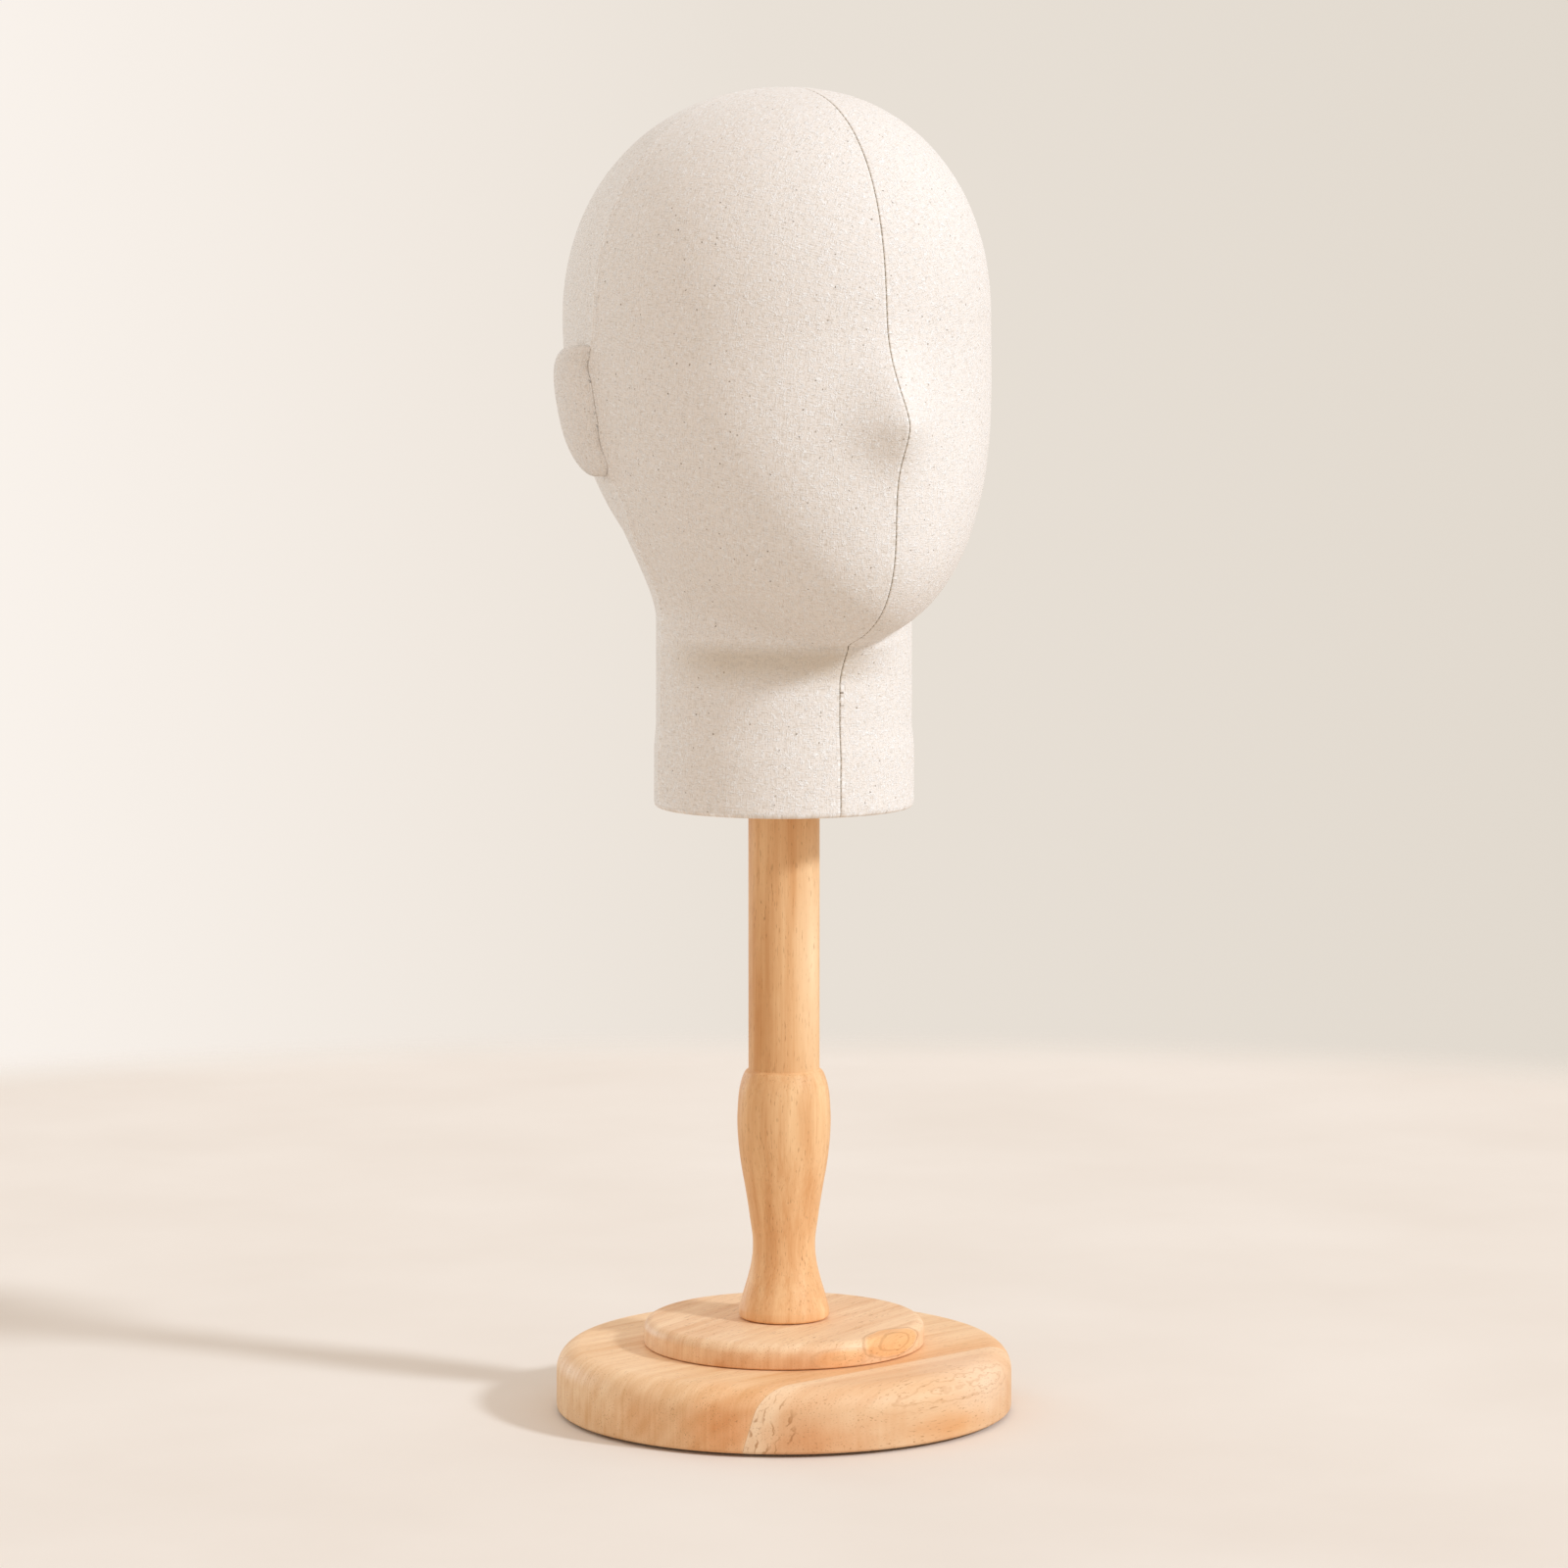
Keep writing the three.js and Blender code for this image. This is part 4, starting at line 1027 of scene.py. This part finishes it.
def board(whole, sign, node, material):
    makeActive(whole)
    bpy.ops.object.duplicate()
    piece = bpy.context.object
    side = Vector((cos(jointTurn), sin(jointTurn), 0))
    editWhole(piece)
    bpy.ops.mesh.bisect(
        plane_co=side * (jointReach + sign * glueJoint["width"] / 2) * mm,
        plane_no=jointNormal,
        use_fill=True,
        clear_inner=sign > 0,
        clear_outer=sign < 0,
    )
    leaveEdit()
    finishPiece(piece, node + "_wood", "stand", material, node, 40)


jointTints = {
    "normal": jointNormal / mm,
    "distance": jointReach,
    "stops": [  # mm beyond the joint
        *[(-150, "#FFFFFF"), (-30, "#FFFFFF"), (-12, "#FFF8F0"), (-1, "#FEF1E6")],
        *[(0.2, "#FFFCF6"), (5, "#FFFAF2"), (9, "#F4E3D1"), (34, "#F6EBDC")],
    ],
}
frontBurr = {"at": (-44.5, -78.5, 12), "size": (15, 13, 15), "edge": 0.55}
frontArcs = {"at": (44, -74, 20), "size": (60, 9, 6), "turn": 24, "bend": 0.7}
upperEye = {"at": (24, -48, 33.5), "size": (18, 9, 5.6), "turn": 26.6, "edge": 0.85, "tint": "#FFEBD0"}
upperKnot = {"at": (-2, -55, 30.5), "size": (14, 5, 4), "turn": 5, "edge": 0.6, "tint": "#FFF4E4"}
discFigures = {
    "LowerMain": [
        {"at": (-58, -60, 9), "size": (17, 15, 24), "turn": 16, "bend": 0.5, "tint": "#FBEADA"},
        {"at": (-52, -68, 12), "size": (26, 20, 14), "edge": 0.3, "tint": "#FCEFE6"},
        {"at": (-75, -40, 12), "size": (22, 26, 16), "tint": "#FCF0E6"},
    ],
    "LowerFront": [
        {**frontBurr, "curls": 3.0, "lines": 0.7, "line": "#AE7847"},
        {"at": (-27, -86, 6), "size": (30, 16, 11), "bend": 0.5, "tint": "#F6E2D2"},
        {"at": (34, -84, 6), "size": (30, 20, 9), "bend": 0.5, "edge": 0.1, "tint": "#FBE8D2"},
        {"at": (52, -70, 20), "size": (38, 26, 16), "edge": -1.0, "blend": "MIX", "tint": "#FBE2C8"},
        {**frontArcs, "rings": 3, "lines": 0.28, "line": "#C08A58"},
    ],
    "Upper": [
        {"at": (-22, -45, 28), "size": (52, 34, 7.5), "bend": 0.4, "edge": 0.35, "tint": "#F1E0D0"},
        {**upperEye, "rings": 2.25, "lines": 0.42, "line": "#BB8450"},
        {**upperKnot, "rings": 1.25, "lines": 0.22, "line": "#C08E5C"},
    ],
}
discWoods = {  # turn of the grain, pale and deep tone, place of the pith, joint
    "LowerMain": (17.5, "#FBD8AE", "#E8B885", (0, 90, 45), jointTints),
    "LowerFront": (17.5, "#FCE0BF", "#F0C8A0", (30, 140, 60), jointTints),
    "Upper": (33, "#F9D7AF", "#E4B486", (10, 110, 30), None),
}
woods = {}
for key, (degrees, pale, deep, pith, joint) in discWoods.items():
    looks = (0, 0, -radians(degrees)), pale, deep, "#A8713F", pith, joint, discFigures[key]
    woods[key] = turnedHardwood("turnedHardwood" + key, *looks)
lowerWhole = drilledDisc(lowerDisc)
board(lowerWhole, -1, "lower_disc_main_board", woods["LowerMain"])
board(lowerWhole, 1, "lower_disc_front_board", woods["LowerFront"])
bpy.data.objects.remove(lowerWhole)
upper = drilledDisc(upperDisc)
finishPiece(upper, "upper_disc_wood", "stand", woods["Upper"], "upper_disc", 40)
feltPad = {"radius": 86.0, "thickness": 1.0, "rounding": 0.3}
feltWall = roundedCorners(0, feltPad["radius"], 0, feltPad["thickness"], feltPad["rounding"], (1, 2))
pad = turnedPiece([(0, 0), *feltWall, (0, feltPad["thickness"])], 96)
finishPiece(pad, "felt_pad_needled", "stand", felt, "felt_pad")
print("stand turned")

# The carried-over pieces that stay as they are get their finishes
fastenings = ["hanger_bolt", "insert_nut", "disc_screw_1", "disc_screw_2", "disc_screw_3"]
for node, material in [("neck_base_board", plywood), *[(name, steel) for name in fastenings]]:
    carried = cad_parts[node].data.materials
    carried.clear()
    carried.append(material)
print("carried-over pieces finished")

# Studio: a pale round floor that fades into the background, a key light and a weak one behind
studio = {
    "wall": [(0.0, "#FAF3EC"), (0.3, "#F0E8DF"), (0.48, "#E9E1D7"), (1.0, "#E1D9CE")],  # left to right; painted light: the backdrop is lighter on the left and darker on the right, as a plain wall lit from the left
    "ambient": (0.783, 0.705, 0.647),
    "floorRadius": 1.06,
    "floorFade": 0.16,
    "floorSeen": [(0.3, "#EAE1D6"), (0.7, "#EFE7DD")],
    "floorLit": "#D4CABE",  # what the floor throws back on the object
    "lamps": {  # degrees to the right of the camera's axis and up, strength, angle it fills, colour
        "keyLight": (62, 31, 1.89, 7, (0.785, 0.881, 1.0)),
        "backLight": (-135, 10, 0.675, 25, (0.554, 0.82, 1.0)),
    },
}
camera = {"azimuth": -25.5, "distance": 2.1, "height": 0.4582, "tilt": 5.7, "lens": 123.65}


def directionOf(azimuth, elevation):
    turn, rise = radians(azimuth), radians(elevation)
    return Vector((sin(turn) * cos(rise), -cos(turn) * cos(rise), sin(rise)))


deselectAll()
for name, (azimuth, elevation, strength, angle, colour) in studio["lamps"].items():
    toLight = directionOf(camera["azimuth"] + azimuth, elevation)
    bpy.ops.object.light_add(type="SUN", location=toLight * 2)
    lamp = bpy.context.object
    lamp.name = name
    lamp.rotation_euler = toLight.to_track_quat("Z", "Y").to_euler()
    lamp.data.energy = strength
    lamp.data.angle = radians(angle)
    lamp.data.color = colour

world = bpy.data.worlds.new("studioWorld")
bpy.context.scene.world = world
world.use_nodes = True
world.node_tree.nodes.clear()
add = partial(addNode, world.node_tree)
rays = add("LightPath", output=None)
seen = add("Math", (rays["Is Camera Ray"], rays["Is Glossy Ray"]), operation="MAXIMUM")
seen = add("Math", (seen, rays["Is Transmission Ray"]), operation="MAXIMUM")
turnOfView = radians(camera["azimuth"])
across = (cos(turnOfView), sin(turnOfView), 0)
aside = add("VectorMath", (add("TexCoord", output="Generated"), across), "Value", operation="DOT_PRODUCT")
wall = add("ValToRGB", (add("MapRange", (aside, -0.15, 0.15)),), stops=studio["wall"])
lighting, backdrop = add("Background", ((*studio["ambient"], 1),)), add("Background", (wall,))
add("OutputWorld", (add("MixShader", (seen, lighting, backdrop)),), None)

deselectAll()
bpy.ops.mesh.primitive_circle_add(vertices=128, radius=studio["floorRadius"], fill_type="NGON")
floor = bpy.context.object
floor.name = "studioFloor"
paintedFloor = bpy.data.materials.new("paintedFloor")
paintedFloor.use_nodes = True
paintedFloor.node_tree.nodes.clear()
add = partial(addNode, paintedFloor.node_tree)
place = add("TexCoord", output="Object")
far = add("VectorMath", (place,), "Value", operation="LENGTH")
rim = (far, studio["floorRadius"] - studio["floorFade"], studio["floorRadius"] - 0.01)
fade = add("MapRange", rim, interpolation_type="SMOOTHSTEP")
mottle = add("TexNoise", {"Vector": place, "Scale": 6.0, "Detail": 4.0})
paint = add("ValToRGB", (mottle,), stops=studio["floorSeen"])
paints = add("BsdfDiffuse", (linear(studio["floorLit"]),)), add("BsdfDiffuse", (paint,))
either = add("MixShader", (add("LightPath", output="Is Camera Ray"), *paints))
add("OutputMaterial", (add("MixShader", (fade, either, add("BsdfTransparent"))),), None)
floor.data.materials.append(paintedFloor)

bpy.ops.object.camera_add()
view = bpy.context.object
view.name = "photoCamera"
toCamera = directionOf(camera["azimuth"], 0) * camera["distance"]
view.location = (toCamera.x, toCamera.y, camera["height"])
view.rotation_euler = (radians(90 - camera["tilt"]), 0, radians(camera["azimuth"]))
view.data.lens = camera["lens"]
view.data.sensor_width = 36
view.data.clip_start = 0.05
view.data.clip_end = 50
bpy.context.scene.camera = view
bpy.context.scene.view_settings.view_transform = "Standard"
deselectAll()
print("studio lit")
